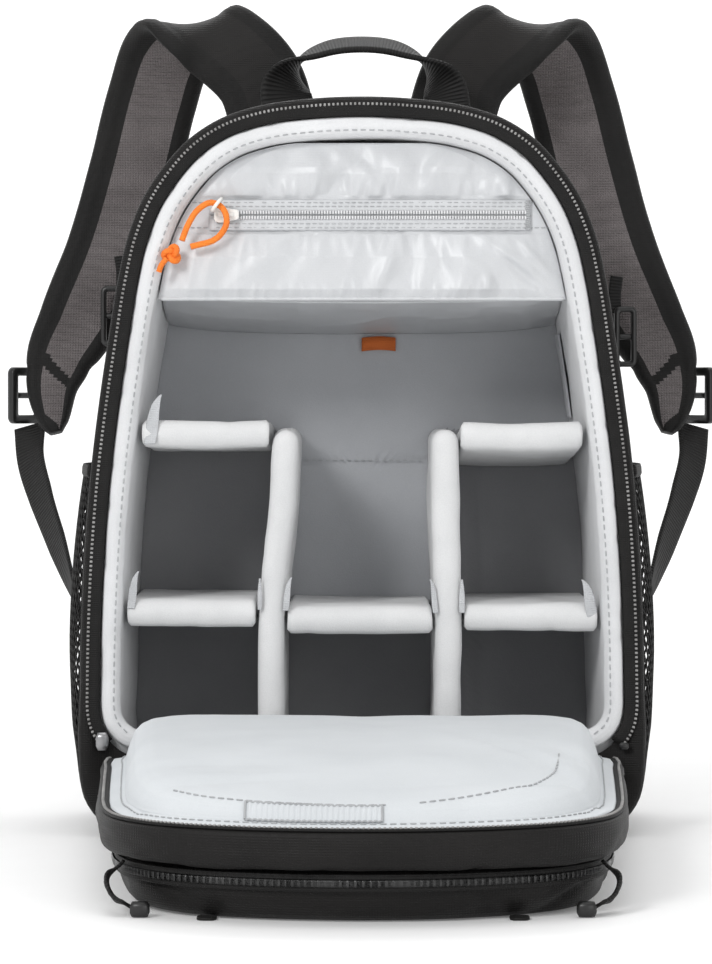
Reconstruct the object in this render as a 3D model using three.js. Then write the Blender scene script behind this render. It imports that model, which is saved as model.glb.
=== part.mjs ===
// Camera backpack standing on its base, open, with the lid folded forward on the floor.
// Millimetres, +Z up, origin at the middle of the flat base.
// The open front and the lid point to -Y, the back panel and the shoulder straps to +Y.

import * as THREE from 'three';
import { mergeVertices } from 'three/addons/utils/BufferGeometryUtils.js';

// Driving dimensions: clearances
const gap = 0.3;

// Driving dimensions: body
const bodyDepth = 136;
const bodyLean = 4.5;
const rimHeight = 350;
const rimHalf = 129;
const sillHeight = 38;
const shellWall = 3.6;
const zipOuter = 3.5;
const zipInner = 3.3;
const rimMargin = 6.5;
const liningLip = 9.7;
const cornerRadius = 24;

// Driving dimensions: upper pocket
const pocketTall = 92;
const pocketDrop = 13;
const pocketSetBack = 7;
const clothWall = 1.6;
const pocketZipDown = 51;
const pocketZipBand = 15;

// Driving dimensions: dividers
const shelfThick = 13.5;
const postThick = 13.2;
const dividerSetBack = 3.5;
const postTop = 195;

// Driving dimensions: lid
const lidLength = 311;
const lidHalf = 124;
const lidHeight = 38;
const lidWall = 2.4;
const frontPocketHeight = 21;
const domeRise = 24;
const lidFlange = 13;

// Driving dimensions: carrying parts
const strapThick = 9;
const strapWidth = 48;
const strapFall = 62;
const handleHigh = 40;
const webThick = 1.8;
const sidePocketTop = 172;
const sidePocketBottom = 22;
const sidePocketStandOff = 9.8;

const pocketBottom = rimHeight - pocketTall;
const pocketZipHeight = rimHeight - pocketZipDown;
const frontY = -bodyDepth / 2;
const backY = bodyDepth / 2;
const leanSlope = Math.tan(THREE.MathUtils.degToRad(bodyLean));
const leanAt = (z) => z * leanSlope;

// Shape of the opening: share of the rim height and share of the rim half width
const archShape = [
  { up: 0.2, out: 1.0 },
  { up: 0.3, out: 0.996 },
  { up: 0.4, out: 0.984 },
  { up: 0.5, out: 0.963 },
  { up: 0.6, out: 0.931 },
  { up: 0.68, out: 0.9 },
  { up: 0.76, out: 0.866 },
  { up: 0.82, out: 0.829 },
  { up: 0.87, out: 0.775 },
  { up: 0.912, out: 0.7 },
  { up: 0.945, out: 0.618 },
  { up: 0.971, out: 0.51 },
  { up: 0.988, out: 0.37 },
  { up: 0.997, out: 0.19 },
];

// Shape of the lid: share of its length and share of its half width
const lidShape = [
  { out: 0.06, half: 0.995 },
  { out: 0.17, half: 0.98 },
  { out: 0.3, half: 0.962 },
  { out: 0.43, half: 0.943 },
  { out: 0.56, half: 0.924 },
  { out: 0.68, half: 0.903 },
  { out: 0.77, half: 0.876 },
  { out: 0.84, half: 0.826 },
  { out: 0.895, half: 0.74 },
  { out: 0.935, half: 0.63 },
  { out: 0.965, half: 0.48 },
  { out: 0.986, half: 0.31 },
  { out: 0.997, half: 0.13 },
];

// Height of the lid's padded panel: share of the lid length and share of the rise
const domeShape = [
  { out: 0.0, rise: 0.55 },
  { out: 0.06, rise: 0.9 },
  { out: 0.16, rise: 1.0 },
  { out: 0.4, rise: 0.96 },
  { out: 0.65, rise: 0.78 },
  { out: 0.85, rise: 0.5 },
  { out: 1.0, rise: 0.22 },
];

const group = new THREE.Group();
group.name = 'camera_backpack';

function material(colour, roughness, metalness = 0) {
  return new THREE.MeshStandardMaterial({ color: new THREE.Color(colour), roughness, metalness });
}

const blackNylon = () => material('#1b1a1a', 0.78);
const blackWebbing = () => material('#181717', 0.7);
const blackPlastic = () => material('#141414', 0.42);
const lightLining = () => material('#dedfe1', 0.82);
const silverNylon = () => material('#d4d6d9', 0.38);
const greyLining = () => material('#8f9195', 0.85);
const orangeCloth = () => material('#f4801f', 0.6);

// Read a short table as a smooth curve
function readTable(table, key, value, at) {
  const last = table.length - 1;
  if (at <= table[0][key]) {
    return table[0][value];
  }
  if (at >= table[last][key]) {
    return table[last][value];
  }
  const i = table.findIndex((row, k) => k > 0 && at <= row[key]);
  const share = (at - table[i - 1][key]) / (table[i][key] - table[i - 1][key]);
  const soft = share * share * (3 - 2 * share);
  const blend = 0.5 * share + 0.5 * soft;
  return THREE.MathUtils.lerp(table[i - 1][value], table[i][value], blend);
}

// Turn faces out: a closed solid has a positive volume
function faceOut(positions, faces) {
  const a = new THREE.Vector3();
  const b = new THREE.Vector3();
  const c = new THREE.Vector3();
  let volume = 0;
  for (const [i, j, k] of faces) {
    a.fromArray(positions, i * 3);
    b.fromArray(positions, j * 3);
    c.fromArray(positions, k * 3);
    volume += a.dot(b.cross(c));
  }
  return volume < 0 ? faces.map(([i, j, k]) => [i, k, j]) : faces;
}

function solid(points, faces) {
  const positions = points.flatMap((p) => [p.x, p.y, p.z]);
  const geometry = new THREE.BufferGeometry();
  geometry.setAttribute('position', new THREE.Float32BufferAttribute(positions, 3));
  geometry.setIndex(faceOut(positions, faces).flat());
  geometry.computeVertexNormals();
  return geometry;
}

// Flat triangles over one loop, read in the plane with the given two axes
function capFaces(loop, start, axes) {
  const flat = loop.map((p) => new THREE.Vector2(p[axes[0]], p[axes[1]]));
  const turned = THREE.ShapeUtils.isClockWise(flat);
  const ordered = turned ? flat.slice().reverse() : flat;
  const faces = THREE.ShapeUtils.triangulateShape(ordered, []);
  const last = loop.length - 1;
  return faces.map((face) => face.map((i) => start + (turned ? last - i : i)));
}

// Solid through a row of equal loops; a ring joins the last loop to the first
function loft(loops, axes = null) {
  const count = loops[0].length;
  const points = loops.flat();
  const faces = [];
  const ring = axes === null;
  const steps = ring ? loops.length : loops.length - 1;
  for (let s = 0; s < steps; s += 1) {
    const here = s * count;
    const next = ((s + 1) % loops.length) * count;
    for (let i = 0; i < count; i += 1) {
      const j = (i + 1) % count;
      faces.push([here + i, here + j, next + j], [here + i, next + j, next + i]);
    }
  }
  if (!ring) {
    const lastStart = (loops.length - 1) * count;
    const first = capFaces(loops[0], 0, axes);
    const end = capFaces(loops[loops.length - 1], lastStart, axes);
    faces.push(...first.map(orient(loops[0], 0, true, count)));
    faces.push(...end.map(orient(loops[loops.length - 1], lastStart, false, count)));
  }
  return solid(points, faces);
}

// Turn one cap triangle so that it runs against or along its loop
function orient(loop, start, along, count) {
  return (face) => {
    const [a, b, c] = face.map((i) => i - start);
    const rises = [a, b, c].filter((v, k, all) => all[(k + 1) % 3] > v).length;
    const forward = rises === 2;
    return forward === along ? [face[0], face[2], face[1]] : face;
  };
}

// Curved cloth of even thickness from a grid, with some cells left open
function clothGrid(columns, rows, face, back, open = () => false) {
  const points = [];
  const index = new Map();
  const faces = [];
  const at = (side, i, j) => {
    const key = `${side} ${i} ${j}`;
    if (!index.has(key)) {
      index.set(key, points.length);
      const place = side === 0 ? face : back;
      points.push(place(i / columns, j / rows));
    }
    return index.get(key);
  };
  const isOpen = (i, j) => i < 0 || j < 0 || i >= columns || j >= rows || open(i, j);
  for (let i = 0; i < columns; i += 1) {
    for (let j = 0; j < rows; j += 1) {
      if (isOpen(i, j)) {
        continue;
      }
      const corners = [[i, j], [i + 1, j], [i + 1, j + 1], [i, j + 1]];
      const f = corners.map(([a, b]) => at(0, a, b));
      const k = corners.map(([a, b]) => at(1, a, b));
      faces.push([f[0], f[1], f[2]], [f[0], f[2], f[3]]);
      faces.push([k[0], k[2], k[1]], [k[0], k[3], k[2]]);
      const beside = [[i, j - 1], [i + 1, j], [i, j + 1], [i - 1, j]];
      for (let e = 0; e < 4; e += 1) {
        if (isOpen(...beside[e])) {
          const n = (e + 1) % 4;
          faces.push([f[e], k[e], k[n]], [f[e], k[n], f[n]]);
        }
      }
    }
  }
  return solid(points, faces);
}

function addPiece(name, geometry, look, leans = false) {
  if (leans) {
    const position = geometry.getAttribute('position');
    for (let i = 0; i < position.count; i += 1) {
      position.setY(i, position.getY(i) + leanAt(position.getZ(i)));
    }
  }
  geometry.deleteAttribute('normal');
  const merged = mergeVertices(geometry, 1e-3);
  merged.computeVertexNormals();
  const mesh = new THREE.Mesh(merged, look);
  mesh.name = name;
  group.add(mesh);
}

// Closed loop of the opening in x and z, as flat points, from the bottom middle and round
function archLoop(bottom, radius) {
  const low = archShape[0].up * rimHeight;
  const half = [];
  half.push([0, bottom], [0.45 * rimHalf, bottom], [rimHalf - radius, bottom]);
  for (const turn of [22.5, 45, 67.5]) {
    const t = THREE.MathUtils.degToRad(turn);
    half.push([rimHalf - radius + radius * Math.sin(t), bottom + radius - radius * Math.cos(t)]);
  }
  half.push([rimHalf, Math.min(bottom + radius, low - 1)]);
  for (const row of archShape) {
    half.push([row.out * rimHalf, row.up * rimHeight]);
  }
  const mirrored = half.slice(1).reverse().map(([x, z]) => [-x, z]);
  return [...half, [0, rimHeight], ...mirrored];
}

// Move a flat loop outward by an even amount
function grow(loop, amount) {
  const count = loop.length;
  return loop.map(([x, z], i) => {
    const [px, pz] = loop[(i + count - 1) % count];
    const [nx, nz] = loop[(i + 1) % count];
    const a = new THREE.Vector2(z - pz, px - x).normalize();
    const b = new THREE.Vector2(nz - z, x - nx).normalize();
    const mid = a.clone().add(b).normalize();
    const reach = amount / Math.max(0.6, mid.dot(a));
    return [x + mid.x * reach, z + mid.y * reach];
  });
}

const upright = (loop, y) => loop.map(([x, z]) => new THREE.Vector3(x, y, z));

// Half width of a flat loop at one height
function halfAt(loop, height) {
  let widest = 0;
  for (let i = 0; i < loop.length; i += 1) {
    const [x0, z0] = loop[i];
    const [x1, z1] = loop[(i + 1) % loop.length];
    if ((z0 - height) * (z1 - height) <= 0 && z0 !== z1) {
      const share = (height - z0) / (z1 - z0);
      widest = Math.max(widest, x0 + share * (x1 - x0));
    }
  }
  return widest;
}

// Opening, shell and inner outlines, all from the zip line of the rim
const shellLoop = (inset) => grow(archLoop(rimMargin, cornerRadius), rimMargin - inset);
const mouthLoop = grow(archLoop(sillHeight - zipInner, cornerRadius), -zipInner);
const innerLoop = (inset) => grow(archLoop(rimMargin, cornerRadius), -inset);
const zipLine = archLoop(sillHeight, cornerRadius);
const lipOuter = zipInner + gap;
const lipInner = zipInner + gap + liningLip;

// Black shell: depth share from the front and inset of the outline, outside then inside
const shellOutside = [
  { depth: 1.0, inset: 22 },
  { depth: 0.975, inset: 9 },
  { depth: 0.92, inset: 3 },
  { depth: 0.78, inset: 0.6 },
  { depth: 0.03, inset: 0 },
  { depth: 0.0, inset: 1.4 },
];
const shellInside = [
  { depth: 0.86, inset: shellWall + 1 },
  { depth: 0.94, inset: shellWall + 6 },
];
const innerBackY = backY - shellWall;
const depthY = (share) => frontY + share * bodyDepth;
addPiece('body_shell', loft([
  ...shellOutside.map((row) => upright(shellLoop(row.inset), depthY(row.depth))),
  upright(mouthLoop, frontY),
  upright(mouthLoop, frontY + shellWall),
  upright(shellLoop(shellWall), frontY + shellWall),
  ...shellInside.map((row) => upright(shellLoop(row.inset), depthY(row.depth))),
  upright(shellLoop(shellWall + 16), innerBackY),
], ['x', 'z']), blackNylon(), true);

// Zip tape and chain around the opening, from hinge to hinge
const zipProfile = [
  { out: zipOuter, proud: 0 },
  { out: zipOuter - 0.3, proud: 1.2 },
  { out: 1.1, proud: 2.5 },
  { out: -1.1, proud: 2.5 },
  { out: -zipInner + 0.3, proud: 1.2 },
  { out: -zipInner, proud: 0 },
];
const zipLoops = zipProfile.map((row) => upright(grow(zipLine, row.out), frontY - gap - row.proud));
const zipFrom = 4;
const zipTo = zipLine.length - 4;
const zipStations = [];
for (let i = zipFrom; i <= zipTo; i += 1) {
  zipStations.push(zipLoops.map((loop) => loop[i]));
}
addPiece('body_zip', loft(zipStations, ['x', 'y']), blackWebbing(), true);

// Light padded lining around the sides with a rounded lip
const liningProfile = [
  { y: frontY + 1.2, inset: lipOuter, bottom: sillHeight },
  { y: frontY - 1.5, inset: lipOuter + 2.2, bottom: sillHeight },
  { y: frontY - 1.5, inset: lipInner - 3, bottom: sillHeight },
  { y: frontY + 1.4, inset: lipInner, bottom: sillHeight },
  { y: frontY + 12, inset: lipInner + 0.6, bottom: rimMargin },
  { y: backY - 9, inset: lipInner + 1.2, bottom: rimMargin },
  { y: backY - 9, inset: 5.2, bottom: rimMargin },
  { y: frontY + shellWall + gap, inset: -1.4, bottom: rimMargin },
  { y: frontY + shellWall + gap, inset: lipOuter, bottom: sillHeight },
];
addPiece('lining_wall', loft(liningProfile.map((row) => (
  upright(grow(archLoop(row.bottom, cornerRadius), -row.inset), row.y)
))), lightLining(), true);


// Grey inner back panel
const backGap = backY - 9 + gap;
addPiece('lining_back', loft([
  upright(innerLoop(6), backGap),
  upright(innerLoop(7.5), backGap + 2.2),
  upright(innerLoop(15), innerBackY - gap),
], ['x', 'z']), greyLining(), true);

// Soft block with rounded edges: table of loops from the front to the back
function cushion(x0, x1, z0, z1, y0, y1, radius, shift = () => [0, 0]) {
  const w = (x1 - x0) / 2;
  const h = (z1 - z0) / 2;
  const mx = (x0 + x1) / 2;
  const mz = (z0 + z1) / 2;
  const r = Math.min(radius, 0.98 * w, 0.98 * h);
  const way = Math.sign(y1 - y0);
  const ends = [
    { y: y0, inset: 0.55 * r },
    { y: y0 + way * 0.35 * r, inset: 0.14 * r },
    { y: y0 + way * r, inset: 0 },
    { y: y1, inset: 0 },
  ];
  return loft(ends.map(({ y, inset }) => {
    const loop = [];
    for (const [sx, sz, from] of [[1, -1, -90], [1, 1, 0], [-1, 1, 90], [-1, -1, 180]]) {
      for (const turn of [0, 45, 90]) {
        const t = THREE.MathUtils.degToRad(from + turn);
        const x = sx * (w - r) + (r - inset) * Math.cos(t);
        const z = sz * (h - r) + (r - inset) * Math.sin(t);
        const [dx, dz] = shift(mx + x, mz + z, (y - y0) / (y1 - y0));
        loop.push(new THREE.Vector3(mx + x + dx, y, mz + z + dz));
      }
    }
    return loop;
  }), ['x', 'z']);
}

// Small stiff plate with cut corners and a softened front
function plate(x0, x1, z0, z1, y0, y1, cut) {
  const ends = [
    { y: y0, inset: 0.4 * cut },
    { y: y0 + Math.sign(y1 - y0) * 0.4 * cut, inset: 0 },
    { y: y1, inset: 0 },
  ];
  return loft(ends.map(({ y, inset }) => {
    const [a, b, c, d] = [x0 + inset, x1 - inset, z0 + inset, z1 - inset];
    return [[a + cut, c], [b - cut, c], [b, c + cut], [b, d - cut],
      [b - cut, d], [a + cut, d], [a, d - cut], [a, c + cut]].map(([x, z]) => new THREE.Vector3(x, y, z));
  }), ['x', 'z']);
}

// Dividers: from just behind the rim to the back panel
const dividerFront = frontY + dividerSetBack;
const dividerBack = backY - 9 - gap;
const wallIn = (z, y) => halfAt(innerLoop(lipInner + (y > 0 ? 1.2 : 0.6)), z) - gap;
// Posts: share of their height and share of the rim half width
const postLeft = [
  { up: 0.1026, out: -0.3372 },
  { up: 0.5385, out: -0.3395 },
  { up: 0.6564, out: -0.324 },
  { up: 0.8103, out: -0.2992 },
  { up: 1, out: -0.2853 },
];
const postRight = [
  { up: 0.1026, out: 0.3147 },
  { up: 0.5385, out: 0.3225 },
  { up: 0.7692, out: 0.3132 },
  { up: 1, out: 0.3116 },
];
const postLeftAt = (z) => rimHalf * readTable(postLeft, 'up', 'out', z / postTop);
const postRightAt = (z) => rimHalf * readTable(postRight, 'up', 'out', z / postTop);

const liningFloor = rimMargin + lipInner + 1.2;
// A post is a stack of level loops so that it can bend sideways
function post(centreAt) {
  const half = postThick / 2;
  const levels = [
    { z: liningFloor + gap, thin: 1, pull: 9.6 },
    { z: 0.277 * postTop, thin: 0.92, pull: 0 },
    { z: 0.5385 * postTop, thin: 0.96 },
    { z: 0.6564 * postTop, thin: 1 },
    { z: 0.8103 * postTop, thin: 1.06 },
    { z: postTop - 8, thin: 1 },
    { z: postTop - 2.5, thin: 0.82 },
    { z: postTop, thin: 0.45 },
  ];
  return loft(levels.map(({ z, thin, pull = (1 - thin) * 6 }) => {
    const w = half * thin;
    const r = Math.min(5, w * 0.9);
    const loop = [];
    const front = dividerFront + pull;
    loop.push([-w, dividerBack], [-w, front + r], [-w + 0.3 * r, front + 0.3 * r], [-w + r, front]);
    loop.push([w - r, front], [w - 0.3 * r, front + 0.3 * r], [w, front + r], [w, dividerBack]);
    return loop.map(([x, y]) => new THREE.Vector3(centreAt(z) + x, y, z));
  }), ['x', 'y']);
}
addPiece('divider_post_left', post(postLeftAt), lightLining(), true);
addPiece('divider_post_right', post(postRightAt), lightLining(), true);

const postEdge = (centreAt, side, z) => centreAt(z) + side * (postThick / 2 * 1.06 + gap);
// Shelves: top as a share of the post height, droop of the back as a share of the thickness
const shelves = [
  { name: 'divider_upper_left', up: 1.0256, from: 'wall', to: postLeftAt, droop: 0.222 },
  { name: 'divider_upper_right', up: 1.0231, from: postRightAt, to: 'wall', droop: 0.741 },
  { name: 'divider_lower_left', up: 0.5821, from: 'wall', to: postLeftAt, droop: 0.074 },
  { name: 'divider_lower_middle', up: 0.5667, from: postLeftAt, to: postRightAt, droop: 0.074 },
  { name: 'divider_lower_right', up: 0.5718, from: postRightAt, to: 'wall', droop: 0.074 },
];
for (const { name, up, from, to, droop } of shelves) {
  const top = up * postTop;
  const drop = droop * shelfThick;
  const low = top - shelfThick - drop;
  const tight = (at) => Math.min(wallIn(low, 1), wallIn(top, 1), at);
  const x0 = from === 'wall' ? -tight(1e3) : Math.max(...[low, top].map((z) => postEdge(from, 1, z)));
  const x1 = to === 'wall' ? tight(1e3) : Math.min(...[low, top].map((z) => postEdge(to, -1, z)));
  addPiece(name, cushion(x0, x1, top - shelfThick, top, dividerFront, dividerBack, 6, (x, z, share) => (
    [0, -drop * share]
  )), lightLining(), true);
}

// Small hook tabs in front of the divider ends
const tabs = [
  { name: 'tab_upper_left', by: 'wall', side: -1, up: 1.0256, width: 9, height: 24 },
  { name: 'tab_lower_left', by: 'wall', side: -1, up: 0.6051, width: 6, height: 18 },
  { name: 'tab_lower_right', by: 'wall', side: 1, up: 0.5846, width: 8, height: 18 },
  { name: 'tab_post_left_a', by: postLeftAt, side: -1, up: 0.5949, width: 3.4, height: 15 },
  { name: 'tab_post_left_b', by: postLeftAt, side: 1, up: 0.5949, width: 4.6, height: 16 },
  { name: 'tab_post_right_a', by: postRightAt, side: -1, up: 0.5897, width: 4.2, height: 16 },
  { name: 'tab_post_right_b', by: postRightAt, side: 1, up: 0.5897, width: 4.2, height: 16 },
];
const tabWallAt = (z) => halfAt(innerLoop(lipInner), z) - 1;
for (const { name, by, side, up, width, height } of tabs) {
  const z = up * postTop;
  const x = by === 'wall'
    ? side * (tabWallAt(z + height / 2) - width / 2)
    : by(z) + side * (postThick / 2 - 2 + width / 2);
  addPiece(name, plate(x - width / 2, x + width / 2, z - height / 2, z + height / 2,
    dividerFront - 1.2, dividerFront + (by === 'wall' ? -gap : 0.9), 1), lightLining(), true);
}

// Upper pocket: gathered front wall, flat behind the zip
const pocketLoop = innerLoop(lipInner + gap + 0.6);
const pocketY = frontY + pocketSetBack;
const pocketZipHalf = pocketZipBand / 2;
const flatHalf = pocketZipHalf + 0.8;
const pocketTop = rimHeight - lipInner - 2.6;

// Height on the pocket wall: rows below, behind and above the zip
function pocketHeight(v) {
  if (v <= 6 / 13) {
    return THREE.MathUtils.lerp(pocketBottom, pocketZipHeight - flatHalf, v * 13 / 6);
  }
  if (v <= 7 / 13) {
    return THREE.MathUtils.lerp(pocketZipHeight - flatHalf, pocketZipHeight + flatHalf, v * 13 - 6);
  }
  return THREE.MathUtils.lerp(pocketZipHeight + flatHalf, pocketTop, (v * 13 - 7) / 6);
}
function pocketFront(u, v) {
  const z = pocketHeight(v);
  const x = (2 * u - 1) * halfAt(pocketLoop, z);
  const away = Math.max(0, Math.abs(z - pocketZipHeight) - flatHalf - 0.01);
  const edge = Math.min(1, (1 - Math.abs(2 * u - 1)) * 5);
  const puff = 4.5 * Math.min(1, away / 14) * edge * Math.min(1, (1 - v) * 4);
  const gather = 1.1 * Math.sin(away > 0 ? u * 50 : 0) * Math.exp(-away / 16) * edge;
  return new THREE.Vector3(x, pocketY - puff - gather, z);
}
const behind = (place, thick) => (u, v) => place(u, v).add(new THREE.Vector3(0, thick, 0));
addPiece('pocket_wall', clothGrid(22, 13, pocketFront, behind(pocketFront, clothWall)),
  silverNylon(), true);

// Underside gusset of the pocket, sloping down to the back
function pocketUnder(u, v) {
  const y = THREE.MathUtils.lerp(pocketY + clothWall + gap, dividerBack, v);
  const z = pocketBottom - pocketDrop * v - 1.5 * Math.sin(Math.PI * u) + 3.5 * (2 * u - 1) ** 6;
  return new THREE.Vector3((2 * u - 1) * (halfAt(innerLoop(lipInner + 1.2), z) - gap), y, z);
}
addPiece('pocket_floor', clothGrid(8, 3, pocketUnder, (u, v) => (
  pocketUnder(u, v).add(new THREE.Vector3(0, 0, clothWall))
)), silverNylon(), true);

// Bar of a stated profile along x, used for zip bands
function bandAlongX(x0, x1, z, half, y, proud) {
  const profile = [
    [0, -half], [-0.9, -half], [-1, -1.6], [-proud, -1.1], [-proud, 1.1], [-1, 1.6], [-0.9, half], [0, half],
  ];
  return loft([x0, x1].map((x) => profile.map(([dy, dz]) => (
    new THREE.Vector3(x, y + dy, z + dz)
  ))), ['y', 'z']);
}
const zipFace = pocketY - gap;
const zipRight = halfAt(innerLoop(lipInner), pocketZipHeight + pocketZipHalf) - 0.74;
const zipLeft = 8 - zipRight;
addPiece('pocket_zip', bandAlongX(zipLeft, zipRight, pocketZipHeight, pocketZipHalf, zipFace, 2.1),
  silverNylon(), true);

const sliderX = zipLeft + 8;
const sliderFace = zipFace - 2.1 - gap;
addPiece('pocket_slider', cushion(sliderX - 5.5, sliderX + 6.5, pocketZipHeight - 4, pocketZipHeight + 4,
  sliderFace - 3.4, sliderFace, 1.6), material('#e9e7e3', 0.4), true);

// Eye of the puller: a small ring around the cord
const pullTurn = { x: sliderX - 4, z: pocketZipHeight + 4.6 };
const cordRadius = 1.5;
const cordY = sliderFace - 3.4 - gap - cordRadius - 2.2;
const eyeHole = cordRadius + gap + 0.9;
const eyeAxis = new THREE.Vector3(0.8, 0, -0.6).normalize();
const eyeSide = new THREE.Vector3(0.6, 0, 0.8).normalize();
const eyeLoops = [];
for (let i = 0; i < 12; i += 1) {
  const t = (i / 12) * 2 * Math.PI;
  const radial = eyeSide.clone().multiplyScalar(Math.cos(t)).add(new THREE.Vector3(0, Math.sin(t), 0));
  const centre = new THREE.Vector3(pullTurn.x, cordY, pullTurn.z);
  const section = [[0, -0.9], [1.7, -0.9], [1.7, 0.9], [0, 0.9]];
  eyeLoops.push(section.map(([r, a]) => (
    centre.clone().addScaledVector(radial, eyeHole + r).addScaledVector(eyeAxis, a)
  )));
}
addPiece('pocket_puller', loft(eyeLoops), material('#e9e7e3', 0.4), true);

// Orange cord through the eye, both ends in the knot, from the eye
const cordRoute = [
  { x: -16.8, z: -17.4, y: -0.6 },
  { x: -13.6, z: -9.2, y: 0.2 },
  { x: -8.6, z: -2, y: 0 },
  { x: -2.6, z: 1, y: 0 },
  { x: 3, z: -2, y: 0 },
  { x: 4.8, z: -8.5, y: 0 },
  { x: 0.6, z: -15.8, y: 0.4 },
  { x: -12.6, z: -20.4, y: -0.4 },
];
const cordPath = new THREE.CatmullRomCurve3(cordRoute.map(({ x, y, z }) => (
  new THREE.Vector3(pullTurn.x + x, cordY + y, pullTurn.z + z)
)));
const cordSection = new THREE.Shape();
for (let i = 0; i < 8; i += 1) {
  const t = (i / 8) * 2 * Math.PI;
  const to = i === 0 ? 'moveTo' : 'lineTo';
  cordSection[to](cordRadius * Math.cos(t), cordRadius * Math.sin(t));
}
addPiece('pull_cord', new THREE.ExtrudeGeometry(cordSection, {
  steps: 18,
  bevelEnabled: false,
  extrudePath: cordPath,
}), orangeCloth(), true);

// Knot where both ends meet: a lumpy ball with three turns of cord
const knotCentre = new THREE.Vector3(pullTurn.x - 21.6, cordY, pullTurn.z - 24);
const knotLoops = [];
for (let k = 0; k <= 8; k += 1) {
  const polar = Math.PI * THREE.MathUtils.clamp(k / 8, 0.04, 0.96);
  const loop = [];
  for (let i = 0; i < 12; i += 1) {
    const t = (i / 12) * 2 * Math.PI;
    const lump = 1 + 0.12 * Math.cos(3 * polar * 2 + t) + 0.06 * Math.cos(3 * t);
    loop.push(new THREE.Vector3(
      knotCentre.x + 5.2 * lump * Math.cos(polar),
      knotCentre.y + 3.2 * lump * Math.sin(polar) * Math.sin(t),
      knotCentre.z + 5.4 * lump * Math.sin(polar) * Math.cos(t),
    ));
  }
  knotLoops.push(loop);
}
addPiece('pull_knot', loft(knotLoops, ['y', 'z']), orangeCloth(), true);

// Plain orange tab hanging under the pocket on the back panel, and the ribbed wall strip
addPiece('orange_tab', plate(0, 17.5, pocketBottom - 23.5, pocketBottom - 16.5, dividerBack - 1.4, dividerBack, 0.8),
  material('#cf6a2a', 0.7), true);
const stripHeight = (v) => THREE.MathUtils.lerp(postTop + 5.5, pocketBottom - 15, v);
addPiece('wall_strip', clothGrid(1, 6, (u, v) => {
  const z = stripHeight(v);
  return new THREE.Vector3(wallIn(z, 1) - gap, 22 + 22 * u, z);
}, (u, v) => {
  const z = stripHeight(v);
  return new THREE.Vector3(wallIn(z, 1) - gap - 1.4, 22 + 22 * u, z);
}), greyLining(), true);


// Lid outline in x and y, from the hinge middle round the far end
const hingeY = frontY - gap;
const lidY = (out) => hingeY - out * lidLength;
function lidLoop(inset) {
  const half = [[0, 0], [0.5 * lidHalf, 0], [0.93 * lidHalf, 0], [0.985 * lidHalf, 0.018 * lidLength]];
  for (const row of lidShape) {
    half.push([row.half * lidHalf, row.out * lidLength]);
  }
  const mirrored = half.slice(1).reverse().map(([x, out]) => [-x, out]);
  const middle = lidLength / 2;
  return [...half, [0, lidLength], ...mirrored].map(([x, out]) => (
    [x * (1 - inset / lidHalf), middle + (out - middle) * (1 - inset / middle)]
  ));
}
const level = (loop, z) => loop.map(([x, out]) => new THREE.Vector3(x, hingeY - out, z));

// Outer tray of the lid: floor height and inset, outside then inside
const trayFloor = frontPocketHeight + gap;
const trayOutside = [
  { z: trayFloor, inset: 7 },
  { z: trayFloor + 2, inset: 2.4 },
  { z: trayFloor + 8, inset: 0 },
  { z: lidHeight - 1.5, inset: 0.4 },
  { z: lidHeight - 0.3, inset: 1.6 },
];
const rimWide = 5.2;
addPiece('lid_shell', loft([
  ...trayOutside.map((row) => level(lidLoop(row.inset), row.z)),
  level(lidLoop(rimWide), lidHeight - 0.3),
  level(lidLoop(rimWide), lidHeight - 2.6),
  level(lidLoop(rimWide - 1.6), lidHeight - 4),
  level(lidLoop(rimWide + 1.2), trayFloor + lidWall),
], ['x', 'y']), blackNylon());

// Zip tape and chain along the rim of the lid, from hinge to hinge
const lidZipProfile = [
  { inset: 1.7, up: 0 },
  { inset: 1.9, up: 1.1 },
  { inset: 2.5, up: 2.2 },
  { inset: 4.1, up: 2.2 },
  { inset: 4.7, up: 1.1 },
  { inset: rimWide, up: 0 },
];
const lidZipLoops = lidZipProfile.map((row) => level(lidLoop(row.inset), lidHeight + row.up));
const lidZipStations = [];
for (let i = 3; i <= lidZipLoops[0].length - 3; i += 1) {
  lidZipStations.push(lidZipLoops.map((loop) => loop[i]));
}
addPiece('lid_zip', loft(lidZipStations, ['x', 'z']), blackWebbing());

// Domed inside panel of the lid with its flat rim
function domeLoop(inset, share) {
  return lidLoop(inset).map(([x, out]) => {
    const rise = domeRise * readTable(domeShape, 'out', 'rise', out / lidLength);
    return new THREE.Vector3(x, hingeY - out, lidHeight + 1.2 + rise * share);
  });
}
addPiece('lid_lining', loft([
  level(lidLoop(rimWide + 2), lidHeight - 3),
  level(lidLoop(rimWide + gap), lidHeight - 1.6),
  level(lidLoop(rimWide + gap), lidHeight + 0.6),
  domeLoop(rimWide + 1.2, 0),
  domeLoop(lidFlange - 2, 0.06),
  domeLoop(lidFlange + 1, 0.42),
  domeLoop(lidFlange + 6, 0.76),
  domeLoop(lidFlange + 16, 0.93),
  domeLoop(lidFlange + 34, 1.0),
], ['x', 'y']), lightLining());

// Flat outer pocket under the lid and the zip across its near end
const pocketInset = 11;
addPiece('front_pocket', loft([
  level(lidLoop(pocketInset + 13), 0),
  level(lidLoop(pocketInset + 5), 1.6),
  level(lidLoop(pocketInset), 7),
  level(lidLoop(pocketInset - 2), 14),
  level(lidLoop(pocketInset - 1), frontPocketHeight - 1.6),
  level(lidLoop(pocketInset + 3), frontPocketHeight),
], ['x', 'y']), blackNylon());

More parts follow.
